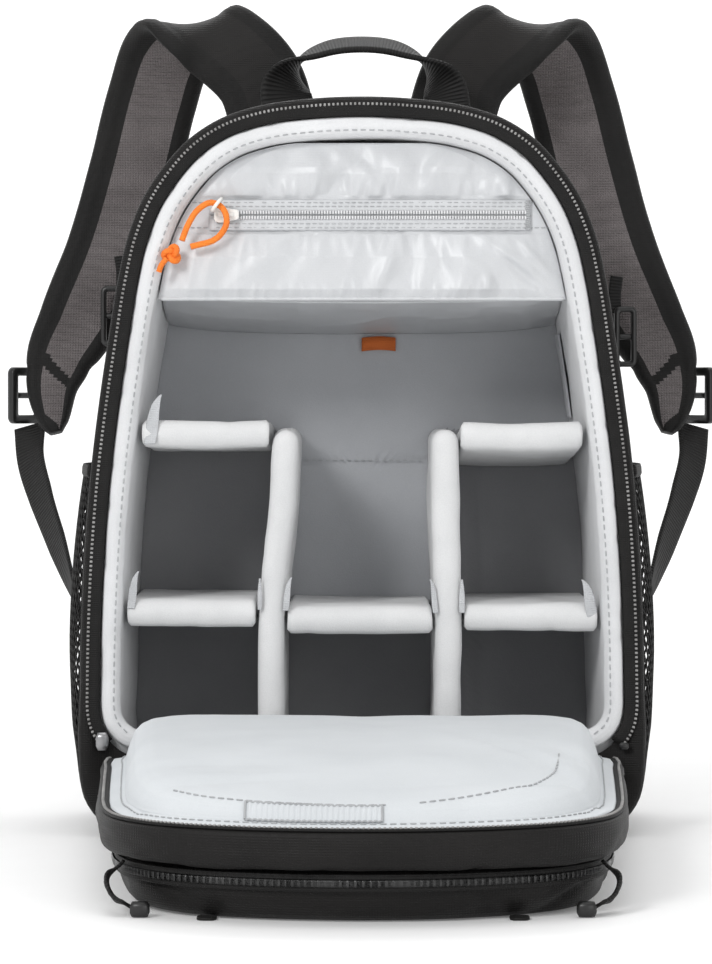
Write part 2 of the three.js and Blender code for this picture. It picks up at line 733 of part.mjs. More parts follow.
const zipInset = pocketInset - 2 - gap;
const pocketZipLoops = [
  { inset: zipInset, z: frontPocketHeight - 8 },
  { inset: zipInset - 1.8, z: frontPocketHeight - 7.4 },
  { inset: zipInset - 3.2, z: frontPocketHeight - 4.6 },
  { inset: zipInset - 1.8, z: frontPocketHeight - 1.2 },
  { inset: zipInset, z: frontPocketHeight - 0.6 },
].map((row) => level(lidLoop(row.inset), row.z));
const frontZipStations = [];
const lidCount = pocketZipLoops[0].length;
const lidMiddle = lidCount / 2;
for (let i = lidMiddle - 8; i <= lidMiddle + 8; i += 1) {
  frontZipStations.push(pocketZipLoops.map((loop) => loop[i]));
}
addPiece('front_pocket_zip', loft(frontZipStations, ['x', 'z']), blackWebbing());

// Cloth band along a route: table of middle points, width and side direction
function ribbon(route, thick, steps, rounded = false) {
  const centre = new THREE.CatmullRomCurve3(route.map((p) => new THREE.Vector3(p.x, p.y, p.z)));
  const loops = [];
  for (let i = 0; i <= steps; i += 1) {
    const t = i / steps;
    const at = t * (route.length - 1);
    const k = Math.min(route.length - 2, Math.floor(at));
    const mix = (key) => THREE.MathUtils.lerp(route[k][key], route[k + 1][key], at - k);
    const point = centre.getPoint(t);
    const along = centre.getTangent(t);
    const side = new THREE.Vector3(mix('sx'), mix('sy'), mix('sz'));
    side.addScaledVector(along, -side.dot(along)).normalize();
    const face = new THREE.Vector3().crossVectors(along, side);
    const w = mix('width') / 2;
    const h = thick / 2;
    const section = rounded
      ? [[-w, -0.35 * h], [-w + h, -h], [w - h, -h], [w, -0.35 * h],
        [w, 0.35 * h], [w - h, h], [-w + h, h], [-w, 0.35 * h]]
      : [[-w, -h], [w, -h], [w, h], [-w, h]];
    loops.push(section.map(([a, b]) => (
      point.clone().addScaledVector(side, a).addScaledVector(face, b)
    )));
  }
  return loops;
}

// Close a ribbon whose ends are flat loops
function ribbonSolid(loops) {
  const count = loops[0].length;
  const points = loops.flat();
  const faces = [];
  for (let s = 0; s < loops.length - 1; s += 1) {
    for (let i = 0; i < count; i += 1) {
      const j = (i + 1) % count;
      const a = s * count;
      const b = a + count;
      faces.push([a + i, a + j, b + j], [a + i, b + j, b + i]);
    }
  }
  const last = (loops.length - 1) * count;
  for (let i = 1; i < count - 1; i += 1) {
    faces.push([0, i + 1, i], [last, last + i, last + i + 1]);
  }
  return solid(points, faces);
}

const mirrorRow = (side) => (row) => ({ ...row, x: side * row.x, sx: side * row.sx });

// Shoulder strap: rises in front, turns over and falls behind the body.
// Shares of the rim half width, of the strap fall, of the rim height and of the strap width
const strapShape = [
  { out: 0.3256, behind: 0.0000, up: 0.9657, wide: 0.9583, sx: 0.84, sz: -0.54 },
  { out: 0.3605, behind: 0.0803, up: 1.0171, wide: 0.9583, sx: 0.84, sz: -0.54 },
  { out: 0.4186, behind: 0.1300, up: 1.0800, wide: 0.9583, sx: 0.86, sz: -0.5 },
  { out: 0.5271, behind: 0.1700, up: 1.1229, wide: 0.9688, sx: 0.9, sz: -0.4 },
  { out: 0.6357, behind: 0.2600, up: 1.1486, wide: 0.9792, sx: 0.96, sz: -0.22 },
  { out: 0.7287, behind: 0.4500, up: 1.1529, wide: 1.0000, sx: 0.99, sz: -0.05 },
  { out: 0.8062, behind: 0.7000, up: 1.1229, wide: 1.0000, sx: 0.98, sz: 0.12 },
  { out: 0.8682, behind: 0.9000, up: 1.0600, wide: 1.0104, sx: 0.97, sz: 0.2 },
  { out: 0.9419, behind: 1.0000, up: 0.9543, wide: 1.0104, sx: 0.97, sz: 0.25 },
  { out: 1.0465, behind: 0.9408, up: 0.8229, wide: 0.9792, sx: 0.96, sz: 0.28 },
  { out: 1.1705, behind: 0.8277, up: 0.7171, wide: 0.8958, sx: 0.95, sz: 0.3 },
  { out: 1.2442, behind: 0.7450, up: 0.6600, wide: 0.7500, sx: 0.98, sz: 0.15 },
  { out: 1.2713, behind: 0.7000, up: 0.6171, wide: 0.5729, sx: 0.99, sz: 0 },
  { out: 1.2674, behind: 0.6600, up: 0.5829, wide: 0.4271, sx: 1, sz: -0.05 },
  { out: 1.2597, behind: 0.6350, up: 0.5614, wide: 0.2917, sx: 1, sz: -0.05 },
  { out: 1.2519, behind: 0.6200, up: 0.5500, wide: 0.1458, sx: 1, sz: -0.05 },
];
const strapRoute = strapShape.map(({ out, behind, up, wide, sx, sz }) => ({
  x: out * rimHalf,
  y: backY + leanAt(up * rimHeight) + strapThick / 2 - 0.5 + behind * strapFall,
  z: up * rimHeight,
  width: wide * strapWidth,
  sx,
  sy: 0,
  sz,
}));
const strapDown = strapRoute.slice(6).reverse();
const strapAt = (z, key) => readTable(strapDown, 'z', key, z);
// Lower webbing from the buckle to the lower side of the body: shares of the way
const buckleAt = { x: strapRoute[12].x + 14.5, y: strapRoute[12].y + 7.6, z: strapRoute[12].z - 4 };
const buckleTurn = THREE.MathUtils.degToRad(50);
const webbingTop = { x: buckleAt.x - 2, y: buckleAt.y + 0.5, z: buckleAt.z - 16.3 };
const webbingEnd = { x: halfAt(shellLoop(0), 0.2457 * rimHeight) + 2.335, y: backY - 4, z: 0.2457 * rimHeight };
const webbingWidth = 19;
const webbingShape = [
  { in: 0, fore: 0, down: 0, sx: 0.85, sy: 0.5, sz: 0.1 },
  { in: 0.0282, fore: 0.1237, down: 0.1481, sx: 0.7, sy: 0.7, sz: 0.1 },
  { in: 0.1977, fore: 0.317, down: 0.3333, sx: 0.55, sy: 0.75, sz: 0.3 },
  { in: 0.452, fore: 0.5361, down: 0.5556, sx: 0.45, sy: 0.75, sz: 0.4 },
  { in: 0.7345, fore: 0.768, down: 0.7963, sx: 0.3, sy: 0.8, sz: 0.5 },
  { in: 1, fore: 1, down: 1, sx: 0.1, sy: 0.8, sz: 0.5 },
];
const webbingRoute = webbingShape.map((row) => ({
  x: THREE.MathUtils.lerp(webbingTop.x, webbingEnd.x, row.in),
  y: THREE.MathUtils.lerp(webbingTop.y, webbingEnd.y, row.fore),
  z: THREE.MathUtils.lerp(webbingTop.z, webbingEnd.z, row.down),
  width: webbingWidth,
  sx: row.sx,
  sy: row.sy,
  sz: row.sz,
}));
// Handle: share of the rim half width, distance from the back, share of the handle height
const handleShape = [
  { out: -0.2791, back: 12, up: 0.0000, width: 27, sx: 0.95, sy: 0.1, sz: 0.2 },
  { out: -0.3023, back: 11, up: 0.4300, width: 27, sx: 0.85, sy: 0.35, sz: 0.4 },
  { out: -0.2636, back: 10, up: 0.7300, width: 25, sx: 0.4, sy: 0.85, sz: 0.3 },
  { out: -0.1473, back: 10, up: 0.9300, width: 24, sx: 0.05, sy: 1, sz: 0.36 },
  { out: 0.0000, back: 10, up: 0.9925, width: 24, sx: 0, sy: 1, sz: 0.36 },
  { out: 0.1473, back: 10, up: 0.9300, width: 24, sx: -0.05, sy: 1, sz: 0.36 },
  { out: 0.2558, back: 10, up: 0.7550, width: 24, sx: -0.4, sy: 0.85, sz: 0.3 },
  { out: 0.3256, back: 11, up: 0.4550, width: 24, sx: -0.85, sy: 0.35, sz: 0.4 },
  { out: 0.3488, back: 12, up: 0.0000, width: 24, sx: -0.95, sy: 0.1, sz: 0.2 },
];
const handleRoute = handleShape.map(({ out, back, up, ...row }) => ({
  ...row,
  x: out * rimHalf,
  y: backY - back,
  z: rimHeight + zipOuter + gap + up * handleHigh,
}));
addPiece('handle', ribbonSolid(ribbon(handleRoute, 3, 24)), blackWebbing(), true);

// Open mesh pocket on each side: bars and gaps shared out along a cloth grid
const barShare = 0.42;
function netPlace(t, cells) {
  const k = Math.round(t * cells);
  const gaps = (cells - 1) / 2;
  return (Math.ceil(k / 2) * barShare + Math.floor(k / 2)) / ((gaps + 1) * barShare + gaps);
}
const netColumns = 9;
const netRows = 15;
const netThick = 1.1;
const netFront = frontY + 16;
const netBack = backY - 25;
function netFace(side, away, z, along) {
  const y = THREE.MathUtils.lerp(netFront, netBack, along);
  const share = (z - sidePocketBottom) / (sidePocketTop - sidePocketBottom);
  const full = share < 0.5 ? Math.sin(Math.PI * share) ** 0.7 : 1 - 0.28 * (2 * share - 1) ** 2;
  const bulge = (sidePocketStandOff - netThick) * full * Math.sin(Math.PI * along ** 1.25) ** 0.6;
  const x = halfAt(shellLoop(0), z) + gap + bulge + away;
  return new THREE.Vector3(side * x, y, z);
}
function sideNet(side, away) {
  return (u, v) => {
    const z = THREE.MathUtils.lerp(sidePocketBottom, sidePocketTop, netPlace(v, netRows));
    return netFace(side, away, z, netPlace(u, netColumns));
  };
}
const bindingHigh = 6;
function sideBinding(side, away) {
  return (u, v) => {
    const z = sidePocketTop + gap + v * bindingHigh;
    const edge = netFace(side, away, sidePocketTop, u);
    const lean = halfAt(shellLoop(0), z) - halfAt(shellLoop(0), sidePocketTop);
    return new THREE.Vector3(edge.x + side * lean, edge.y, z);
  };
}

// Slotted frame in x and z, as a ring of four-sided sections
function frame(cx, cy, cz, wide, high, bar, thick) {
  const outline = (w, h, cut) => [[w - cut, -h], [w, -h + cut], [w, h - cut], [w - cut, h],
    [-w + cut, h], [-w, h - cut], [-w, -h + cut], [-w + cut, -h]];
  const outer = outline(wide / 2, high / 2, 2.5);
  const inner = outline(wide / 2 - bar, high / 2 - bar, 0.8);
  const loops = [[outer, -0.5], [outer, 0.5], [inner, 0.5], [inner, -0.5]];
  return loft(loops.map(([loop, share]) => (
    loop.map(([x, z]) => new THREE.Vector3(cx + x, cy + share * thick, cz + z))
  )));
}

// Webbing loop at each corner of the lid: shares of its half width, length and height
const lidLoopRoute = [
  { half: 0.8075, out: 0.8270, up: 0.4895, sx: 0 },
  { half: 0.8380, out: 0.8440, up: 0.3684, sx: 0 },
  { half: 0.8200, out: 0.8700, up: 0.2105, sx: 0.2 },
  { half: 0.7665, out: 0.8900, up: 0.1158, sx: 0.3 },
].map(({ half, out, up, sx }) => (
  { x: half * lidHalf, y: lidY(out), z: up * lidHeight, width: 11, sx, sy: 1, sz: 0 }
));

for (const [name, side] of [['left', -1], ['right', 1]]) {
  const between = (a, b) => [Math.min(side * a, side * b), Math.max(side * a, side * b)];
  addPiece(`strap_${name}`, ribbonSolid(ribbon(strapRoute.map(mirrorRow(side)), strapThick, 30, true)),
    blackNylon());
  addPiece(`webbing_${name}`, ribbonSolid(ribbon(webbingRoute.map(mirrorRow(side)), webThick, 12)),
    blackWebbing());
  addPiece(`strap_buckle_${name}`, frame(0, 0, 0, 24, 30, 5, 4.4).rotateZ(-side * buckleTurn)
    .translate(side * buckleAt.x, buckleAt.y, buckleAt.z), blackPlastic());
  const buckleZ = (side < 0 ? 0.7257 : 0.6943) * rimHeight;
  const buckleX = strapAt(buckleZ, 'x') - (side < 0 ? 18.05 : 15.04);
  const buckleY = strapAt(buckleZ, 'y') - (side < 0 ? 10.18 : 11.64);
  addPiece(`sternum_buckle_${name}`, frame(side * buckleX, buckleY, buckleZ, 12, 32, 3.4, 5), blackPlastic());
  addPiece(`sternum_loop_${name}`, plate(...between(buckleX - 2, buckleX - 9), buckleZ + 16.4, buckleZ + 32,
    buckleY - 1.2, buckleY + 1.2, 1.2), blackWebbing());
  addPiece(`side_pocket_${name}`, clothGrid(netColumns, netRows, sideNet(side, netThick), sideNet(side, 0),
    (i, j) => i % 2 === 1 && j % 2 === 1), blackWebbing(), true);
  addPiece(`side_binding_${name}`, clothGrid(8, 1, sideBinding(side, netThick + 0.6), sideBinding(side, 0)),
    blackWebbing(), true);
  addPiece(`lid_loop_${name}`, ribbonSolid(ribbon(lidLoopRoute.map(mirrorRow(side)), 1.4, 6)),
    blackWebbing());
  addPiece(`lid_buckle_${name}`, plate(...between(0.696 * lidHalf, 0.7605 * lidHalf), 0.4, 6.4,
    lidY(0.9061), lidY(0.8917), 1.4), blackPlastic());
  addPiece(`lid_tab_${name}`, plate(...between(0.4758 * lidHalf, 0.5403 * lidHalf), 0, 1.4, lidY(0.931), lidY(0.9014), 0.5), blackWebbing());
  addPiece(`back_pad_${name}`, cushion(...between(14, rimHalf - 41), sillHeight + 8, rimHeight - 36, backY + 11, backY + gap, 9),
    blackNylon(), true);
}

addPiece('hinge_strip', plate(20 - lidHalf, lidHalf - 20, lidHeight + gap, lidHeight + gap + 1.2,
  frontY - 5.3, frontY + 5, 0.4), blackWebbing());
addPiece('body_zip_slider', plate(1.5 - rimHalf, 8 - rimHalf, sillHeight + 4, sillHeight + 12.5, frontY - gap - 2.5 - gap - 3.4,
  frontY - gap - 2.5 - gap, 1.4), material('#8b8b8c', 0.35, 0.8), true);

export default group;
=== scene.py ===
import math

import bmesh
import bpy
import numpy as np
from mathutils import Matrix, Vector
from mathutils.bvhtree import BVHTree


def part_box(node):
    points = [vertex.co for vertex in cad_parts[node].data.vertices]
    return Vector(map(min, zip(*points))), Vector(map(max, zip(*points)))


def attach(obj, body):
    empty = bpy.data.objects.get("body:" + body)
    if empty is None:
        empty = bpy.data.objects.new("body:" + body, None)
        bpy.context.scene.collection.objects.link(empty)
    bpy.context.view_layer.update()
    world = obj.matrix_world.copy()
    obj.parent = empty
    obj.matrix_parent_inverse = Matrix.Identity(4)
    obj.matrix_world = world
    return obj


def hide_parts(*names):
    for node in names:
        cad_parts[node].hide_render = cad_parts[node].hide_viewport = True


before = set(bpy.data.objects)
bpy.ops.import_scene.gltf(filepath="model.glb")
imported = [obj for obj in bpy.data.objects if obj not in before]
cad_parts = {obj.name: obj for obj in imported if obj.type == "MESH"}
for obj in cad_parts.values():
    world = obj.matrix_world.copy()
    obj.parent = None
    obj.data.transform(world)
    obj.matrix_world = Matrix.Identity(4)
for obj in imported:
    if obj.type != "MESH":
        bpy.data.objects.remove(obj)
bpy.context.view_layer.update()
scene = bpy.context.scene

# Named sizes, in metres, as in the solids
GAP = 0.0003
BODY_DEPTH = 0.136
LEAN = math.tan(math.radians(4.5))
RIM_HEIGHT = 0.350
RIM_HALF = 0.129
SILL = 0.038
SHELL_WALL = 0.0036
RIM_MARGIN = 0.0065
ZIP_OUTER = 0.0035
ZIP_INNER = 0.0033
LIP = 0.0097
CORNER = 0.024
FRONT = -BODY_DEPTH / 2
BACK = BODY_DEPTH / 2
LIP_INNER = ZIP_INNER + GAP + LIP
POCKET_BOTTOM = 0.258
POCKET_ZIP = 0.299
POCKET_BAND = 0.015
LID_LENGTH = 0.311
LID_HALF = 0.124
LID_HEIGHT = 0.038
LID_RIM = 0.0052
LID_FLANGE = 0.013
DOME = 0.024
FRONT_POCKET = 0.021
HINGE = FRONT - GAP
TEETH_PITCH = 0.0021
TOOTH = (0.0011, 0.0010, 0.0013)
SEAM_PITCH = 0.0042
LID_STITCH = (0.0028, 0.0007, 0.0007)
ZIP_STITCH = (0.0021, 0.0004, 0.0005)
WEB_THICK = 0.0018
WEB_WIDE = 0.019
LOOP_THICK = 0.0014
LOOP_WIDE = 0.011
STRAP_STEPS = 10
STRAP_SEAM = 0.2255
PATCH_RIB = 0.0022
BUCKLE_TURN = math.radians(50)
SIDES = (("left", -1), ("right", 1))

# Camera and cord
camera_data = bpy.data.cameras.new("camera")
camera_data.lens = 141.0
camera_data.sensor_width = 36.0
camera_data.clip_end = 60.0
camera = bpy.data.objects.new("camera", camera_data)
camera.location = (-0.0029, -1.870, 0.208)
camera.rotation_euler = (math.radians(90.0 - 1.2), 0.0, 0.0)
scene.collection.objects.link(camera)
scene.camera = camera


# Materials
def new_material(name):
    """A material with one shader, its node tree and that shader."""
    mat = bpy.data.materials.new(name)
    mat.use_nodes = True
    tree = mat.node_tree
    tree.nodes.clear()
    out = tree.nodes.new("ShaderNodeOutputMaterial")
    shader = tree.nodes.new("ShaderNodeBsdfPrincipled")
    tree.links.new(shader.outputs["BSDF"], out.inputs["Surface"])
    return mat, tree, shader


def node(tree, kind, **values):
    """A new node with its settings."""
    made = tree.nodes.new(kind)
    for key, value in values.items():
        setattr(made, key, value)
    return made


def link(tree, a, b):
    tree.links.new(a, b)


def math_node(tree, operation, a, b):
    made = node(tree, "ShaderNodeMath", operation=operation)
    for i, value in enumerate((a, b)):
        if isinstance(value, (int, float)):
            made.inputs[i].default_value = value
        else:
            link(tree, value, made.inputs[i])
    return made.outputs[0]


def plus(tree, a, b):
    return math_node(tree, "ADD", a, b)


def times(tree, a, b):
    return math_node(tree, "MULTIPLY", a, b)


def coords(tree, kind, scale=(1, 1, 1)):
    source = node(tree, "ShaderNodeTexCoord")
    mapping = node(tree, "ShaderNodeMapping")
    link(tree, source.outputs[kind], mapping.inputs["Vector"])
    mapping.inputs["Scale"].default_value = scale
    return mapping.outputs["Vector"]


def noise(tree, vector, scale, detail=4.0, rough=0.55):
    made = node(tree, "ShaderNodeTexNoise")
    made.inputs["Scale"].default_value = scale
    made.inputs["Detail"].default_value = detail
    made.inputs["Roughness"].default_value = rough
    link(tree, vector, made.inputs["Vector"])
    return made.outputs["Fac"]


def wave(tree, vector, scale, axis):
    made = node(tree, "ShaderNodeTexWave", wave_type="BANDS", bands_direction=axis, wave_profile="SIN")
    made.inputs["Scale"].default_value = scale
    made.inputs["Distortion"].default_value = 0.0
    link(tree, vector, made.inputs["Vector"])
    return made.outputs["Fac"]


def ramp(tree, factor, low, high, start=0.0, end=1.0):
    """Colour from low to high as the factor goes from start to end."""
    made = node(tree, "ShaderNodeValToRGB")
    made.color_ramp.elements[0].position = start
    made.color_ramp.elements[0].color = (*low, 1.0)
    made.color_ramp.elements[1].position = end
    made.color_ramp.elements[1].color = (*high, 1.0)
    link(tree, factor, made.inputs["Fac"])
    return made.outputs["Color"]


def bump(tree, shader, height, strength, distance):
    """Bump from a height, linked to the shader."""
    made = node(tree, "ShaderNodeBump")
    made.inputs["Strength"].default_value = strength
    made.inputs["Distance"].default_value = distance
    link(tree, height, made.inputs["Height"])
    link(tree, made.outputs["Normal"], shader.inputs["Normal"])
    return made


def cloth(name, low, high, rough, blotch=22.0, grain=900.0, weave=None, depth=0.0004,
          sheen=0.0, specular=0.5, rough_swing=0.08, strength=0.5):
    """Woven or brushed cloth: slow colour change, fine grain, and a weave of a pitch in metres."""
    mat, tree, shader = new_material(name)
    place = coords(tree, "Object")
    slow = noise(tree, place, blotch, 3.0)
    fine = noise(tree, place, grain, 2.0, 0.7)
    mix = plus(tree, times(tree, slow, 0.65), times(tree, fine, 0.35))
    link(tree, ramp(tree, mix, low, high, 0.32, 0.68), shader.inputs["Base Color"])
    rough_value = plus(tree, times(tree, fine, 2 * rough_swing), rough - rough_swing)
    link(tree, rough_value, shader.inputs["Roughness"])
    shader.inputs["Specular IOR Level"].default_value = specular
    if sheen:
        shader.inputs["Sheen Weight"].default_value = sheen
        shader.inputs["Sheen Roughness"].default_value = 0.5
    height = fine
    if weave:
        size = 2 * math.pi / weave / 20.0
        across = wave(tree, place, size, "X")
        up = wave(tree, place, size, "Z")
        along = wave(tree, place, size, "Y")
        threads = times(tree, plus(tree, across, along), up)
        height = plus(tree, times(tree, fine, 0.5), threads)
    bump(tree, shader, height, strength, depth)
    return mat


def ribbed(name, low, high, rough, pitch, depth=0.0004, specular=0.4):
    """Webbing: ribs across the width, read from the piece's own measured UV map in metres."""
    mat, tree, shader = new_material(name)
    place = coords(tree, "UV")
    size = 2 * math.pi / pitch / 20.0
    ribs = wave(tree, place, size, "Y")
    body = coords(tree, "Object")
    fine = noise(tree, body, 1100.0, 2.0, 0.7)
    height = plus(tree, ribs, times(tree, fine, 0.3))
    # The colour follows the ribs, darker in their grooves and lighter on their crests: painted shade and
    # highlight, with random grain.
    mix = plus(tree, times(tree, ribs, 0.5), times(tree, fine, 0.5))
    link(tree, ramp(tree, mix, low, high, 0.15, 0.85), shader.inputs["Base Color"])
    link(tree, plus(tree, times(tree, fine, 0.16), rough - 0.08), shader.inputs["Roughness"])
    shader.inputs["Specular IOR Level"].default_value = specular
    bump(tree, shader, height, 0.7, depth)
    return mat


def moulded(name, low, high, rough, metallic=0.0):
    """Moulded plastic, metal or thread: slow colour change and a fine grain."""
    mat, tree, shader = new_material(name)
    place = coords(tree, "Object")
    fine = noise(tree, place, 1400.0, 2.0, 0.6)
    slow = noise(tree, place, 60.0, 2.0)
    link(tree, ramp(tree, slow, low, high, 0.3, 0.7), shader.inputs["Base Color"])
    link(tree, plus(tree, times(tree, slow, 0.14), rough - 0.07), shader.inputs["Roughness"])
    shader.inputs["Metallic"].default_value = metallic
    bump(tree, shader, fine, 0.25, 0.0001)
    return mat


NYLON = cloth("black_nylon", (0.0050, 0.0047, 0.0046), (0.0110, 0.0100, 0.0096), 0.56, 18.0, 1500.0, 0.0011,
              0.0002, 0.02, 0.19, 0.08, 0.5)
STRAP_FACE = cloth("strap_face", (0.006, 0.0055, 0.0054), (0.013, 0.0118, 0.0112), 0.6, 16.0, 1500.0, 0.0011,
                   0.0002, 0.05, 0.22, 0.08, 0.5)
WEBBING = ribbed("black_webbing", (0.0045, 0.0045, 0.0045), (0.013, 0.0122, 0.012), 0.6, 0.0017, 0.0004, 0.25)
BINDING = cloth("black_binding", (0.005, 0.0048, 0.0048), (0.010, 0.0094, 0.009), 0.62, 30.0, 1600.0, 0.0009,
                0.0002, 0.02, 0.22)
LINING = cloth("light_lining", (0.60, 0.605, 0.615), (0.70, 0.705, 0.715), 0.86, 20.0, 1500.0, None,
               0.00025, 0.1, 0.25, 0.06, 0.4)
DIVIDER = cloth("divider_cloth", (0.60, 0.605, 0.61), (0.71, 0.712, 0.715), 0.9, 26.0, 1500.0, None,
                0.0003, 0.15, 0.2, 0.06, 0.5)
SILVER = cloth("silver_nylon", (0.50, 0.51, 0.525), (0.58, 0.59, 0.605), 0.40, 26.0, 1700.0, 0.0008,
               0.00006, 0.0, 0.75, 0.06, 0.25)
GREY_BACK = cloth("grey_lining", (0.40, 0.41, 0.43), (0.47, 0.48, 0.50), 0.9, 18.0, 1500.0, None,
                  0.00025, 0.1, 0.2, 0.05, 0.4)
# Pale grey for the body and lid zip teeth: painted glints on a coil that is dark.
TEETH = moulded("zip_teeth", (0.17, 0.165, 0.16), (0.30, 0.295, 0.29), 0.35)
DARK_TEETH = moulded("dark_teeth", (0.012, 0.012, 0.012), (0.03, 0.03, 0.03), 0.32)
PALE_TEETH = moulded("pale_teeth", (0.62, 0.62, 0.63), (0.72, 0.72, 0.73), 0.35)
PLASTIC = moulded("black_plastic", (0.007, 0.007, 0.007), (0.014, 0.014, 0.014), 0.36)
WHITE_PLASTIC = moulded("white_plastic", (0.74, 0.73, 0.70), (0.83, 0.82, 0.79), 0.36)
STITCH = moulded("grey_stitch", (0.34, 0.35, 0.36), (0.44, 0.45, 0.46), 0.7)
MESH_FACE = cloth("strap_mesh", (0.10, 0.089, 0.089), (0.175, 0.158, 0.158), 0.85, 30.0, 1100.0, 0.0014,
                  0.0005, 0.1, 0.2, 0.06, 0.8)
TAB_CLOTH = cloth("tab_cloth", (0.42, 0.43, 0.445), (0.55, 0.56, 0.575), 0.8, 60.0, 1500.0, 0.0011,
                  0.00025, 0.05, 0.25, 0.06, 0.5)
# Darker grey for the back's cells below the shelves: painted shade on the same grey cloth as the rest of the
# back.
PAINTED_SHADE_GREY = cloth("back_painted_shade", (0.27, 0.272, 0.282), (0.325, 0.327, 0.338), 0.92, 18.0, 1500.0, None,
                  0.00025, 0.1, 0.2, 0.05, 0.4)
LID_CLOTH = cloth("lid_lining", (0.56, 0.585, 0.605), (0.64, 0.665, 0.685), 0.9, 16.0, 1500.0, None,
                  0.00025, 0.1, 0.2, 0.05, 0.4)
METAL = moulded("grey_metal", (0.24, 0.24, 0.24), (0.36, 0.36, 0.37), 0.3, 0.9)
ORANGE = cloth("orange_cord", (0.78, 0.16, 0.01), (0.93, 0.25, 0.02), 0.55, 90.0, 1500.0, 0.0012,
               0.0003, 0.1, 0.4)
ORANGE_TAPE = cloth("orange_tab", (0.52, 0.115, 0.022), (0.64, 0.16, 0.03), 0.7, 60.0, 1500.0, 0.0009,
                    0.0002, 0.1, 0.3)


# Mesh helpers
def value_noise(points, scale, seed=0.0):
    """Smooth noise from -1 to 1 at each point, scale in cells per metre (one number or three)."""
    p = np.asarray(points, float) * scale + seed * 17.31 + 1000.0
    cell = np.floor(p).astype(np.int64)
    f = p - cell
    f = f * f * (3 - 2 * f)
    total = np.zeros(len(p))
    for dx in (0, 1):
        for dy in (0, 1):
            for dz in (0, 1):
                c = cell + np.array([dx, dy, dz])
                h = (c[:, 0] * 374761393 + c[:, 1] * 668265263 + c[:, 2] * 1440662683) & 0xFFFFFFFF
                h = ((h ^ (h >> 13)) * 1274126177) & 0xFFFFFFFF
                h = (h ^ (h >> 16)) & 0xFFFF
                w = (f[:, 0] if dx else 1 - f[:, 0]) * (f[:, 1] if dy else 1 - f[:, 1])
                w = w * (f[:, 2] if dz else 1 - f[:, 2])
                total += w * (h / 32767.5 - 1.0)
    return total


def rough_noise(points, scale, octaves=3, seed=0.0):
    """Several scales of smooth noise added up."""
    total = np.zeros(len(points))
    size = np.asarray(scale, float)
    for k in range(octaves):
        total += value_noise(points, size * 2 ** k, seed + 3.7 * k) / 2 ** k
    return total


def creases(points, scale, seed=0.0):
    """Sharp ridges, 0 to 1, where the noise crosses zero."""
    return 1.0 - np.minimum(1.0, np.abs(value_noise(points, scale, seed)) * 2.4)


def fold_lines(across_at, up_at, lines, sharp=1.9):
    """Height of soft folds; each line is middle, middle, turn from upright, half length, half width, rise."""
    total = np.zeros(np.shape(across_at))
    for a0, b0, turn, long, wide, rise in lines:
        da, db = across_at - a0, up_at - b0
        along = da * math.sin(turn) + db * math.cos(turn)
        across = da * math.cos(turn) - db * math.sin(turn)
        total += rise * np.exp(-np.abs(across / wide) ** sharp - (along / long) ** 2)
    return total


def hermite(points, steps, closed):
    """Smooth curve through points (n, k) with steps[i] parts on segment i, by chord lengths."""
    p = np.asarray(points, float)
    n = len(p)
    nxt = np.roll(p, -1, 0)
    d = np.maximum(np.linalg.norm((nxt - p)[:, :3], axis=1), 1e-9)
    slope = (nxt - p) / d[:, None]
    prev_d = np.roll(d, 1)
    tangent = (np.roll(slope, 1, 0) * d[:, None] + slope * prev_d[:, None]) / (d + prev_d)[:, None]
    if not closed:
        tangent[0] = slope[0]
        tangent[-1] = slope[-2]
    out = []
    for i in range(n if closed else n - 1):
        j = (i + 1) % n
        t = np.linspace(0, 1, steps[i], endpoint=False)[:, None]
        h00 = 2 * t ** 3 - 3 * t ** 2 + 1
        h10 = t ** 3 - 2 * t ** 2 + t
        h01 = 3 * t ** 2 - 2 * t ** 3
        h11 = t ** 3 - t ** 2
        out.append(h00 * p[i] + h10 * d[i] * tangent[i] + h01 * p[j] + h11 * d[i] * tangent[j])
    if not closed:
        out.append(p[-1:])
    return np.vstack(out)


def make(name, verts, faces, mats, uv=None, slots=None, smooth=True):
    """A mesh object from points and faces."""
    mesh = bpy.data.meshes.new(name)
    mesh.from_pydata(np.asarray(verts, float).tolist(), [], faces)
    for mat in (mats if isinstance(mats, (list, tuple)) else [mats]):
        mesh.materials.append(mat)
    if uv is not None:
        layer = mesh.uv_layers.new(name="UVMap")
        layer.data.foreach_set("uv", np.asarray(uv, np.float32).ravel())
    if slots is not None:
        mesh.polygons.foreach_set("material_index", np.asarray(slots, np.int32))
    mesh.polygons.foreach_set("use_smooth", [smooth] * len(mesh.polygons))
    mesh.update()
    made = bpy.data.objects.new(name, mesh)
    scene.collection.objects.link(made)
    return made


def face_out(obj):
    """Turns a closed mesh's faces out."""
    b = bmesh.new()
    b.from_mesh(obj.data)
    bmesh.ops.recalc_face_normals(b, faces=b.faces)
    b.to_mesh(obj.data)
    b.free()
    obj.data.update()
    return obj


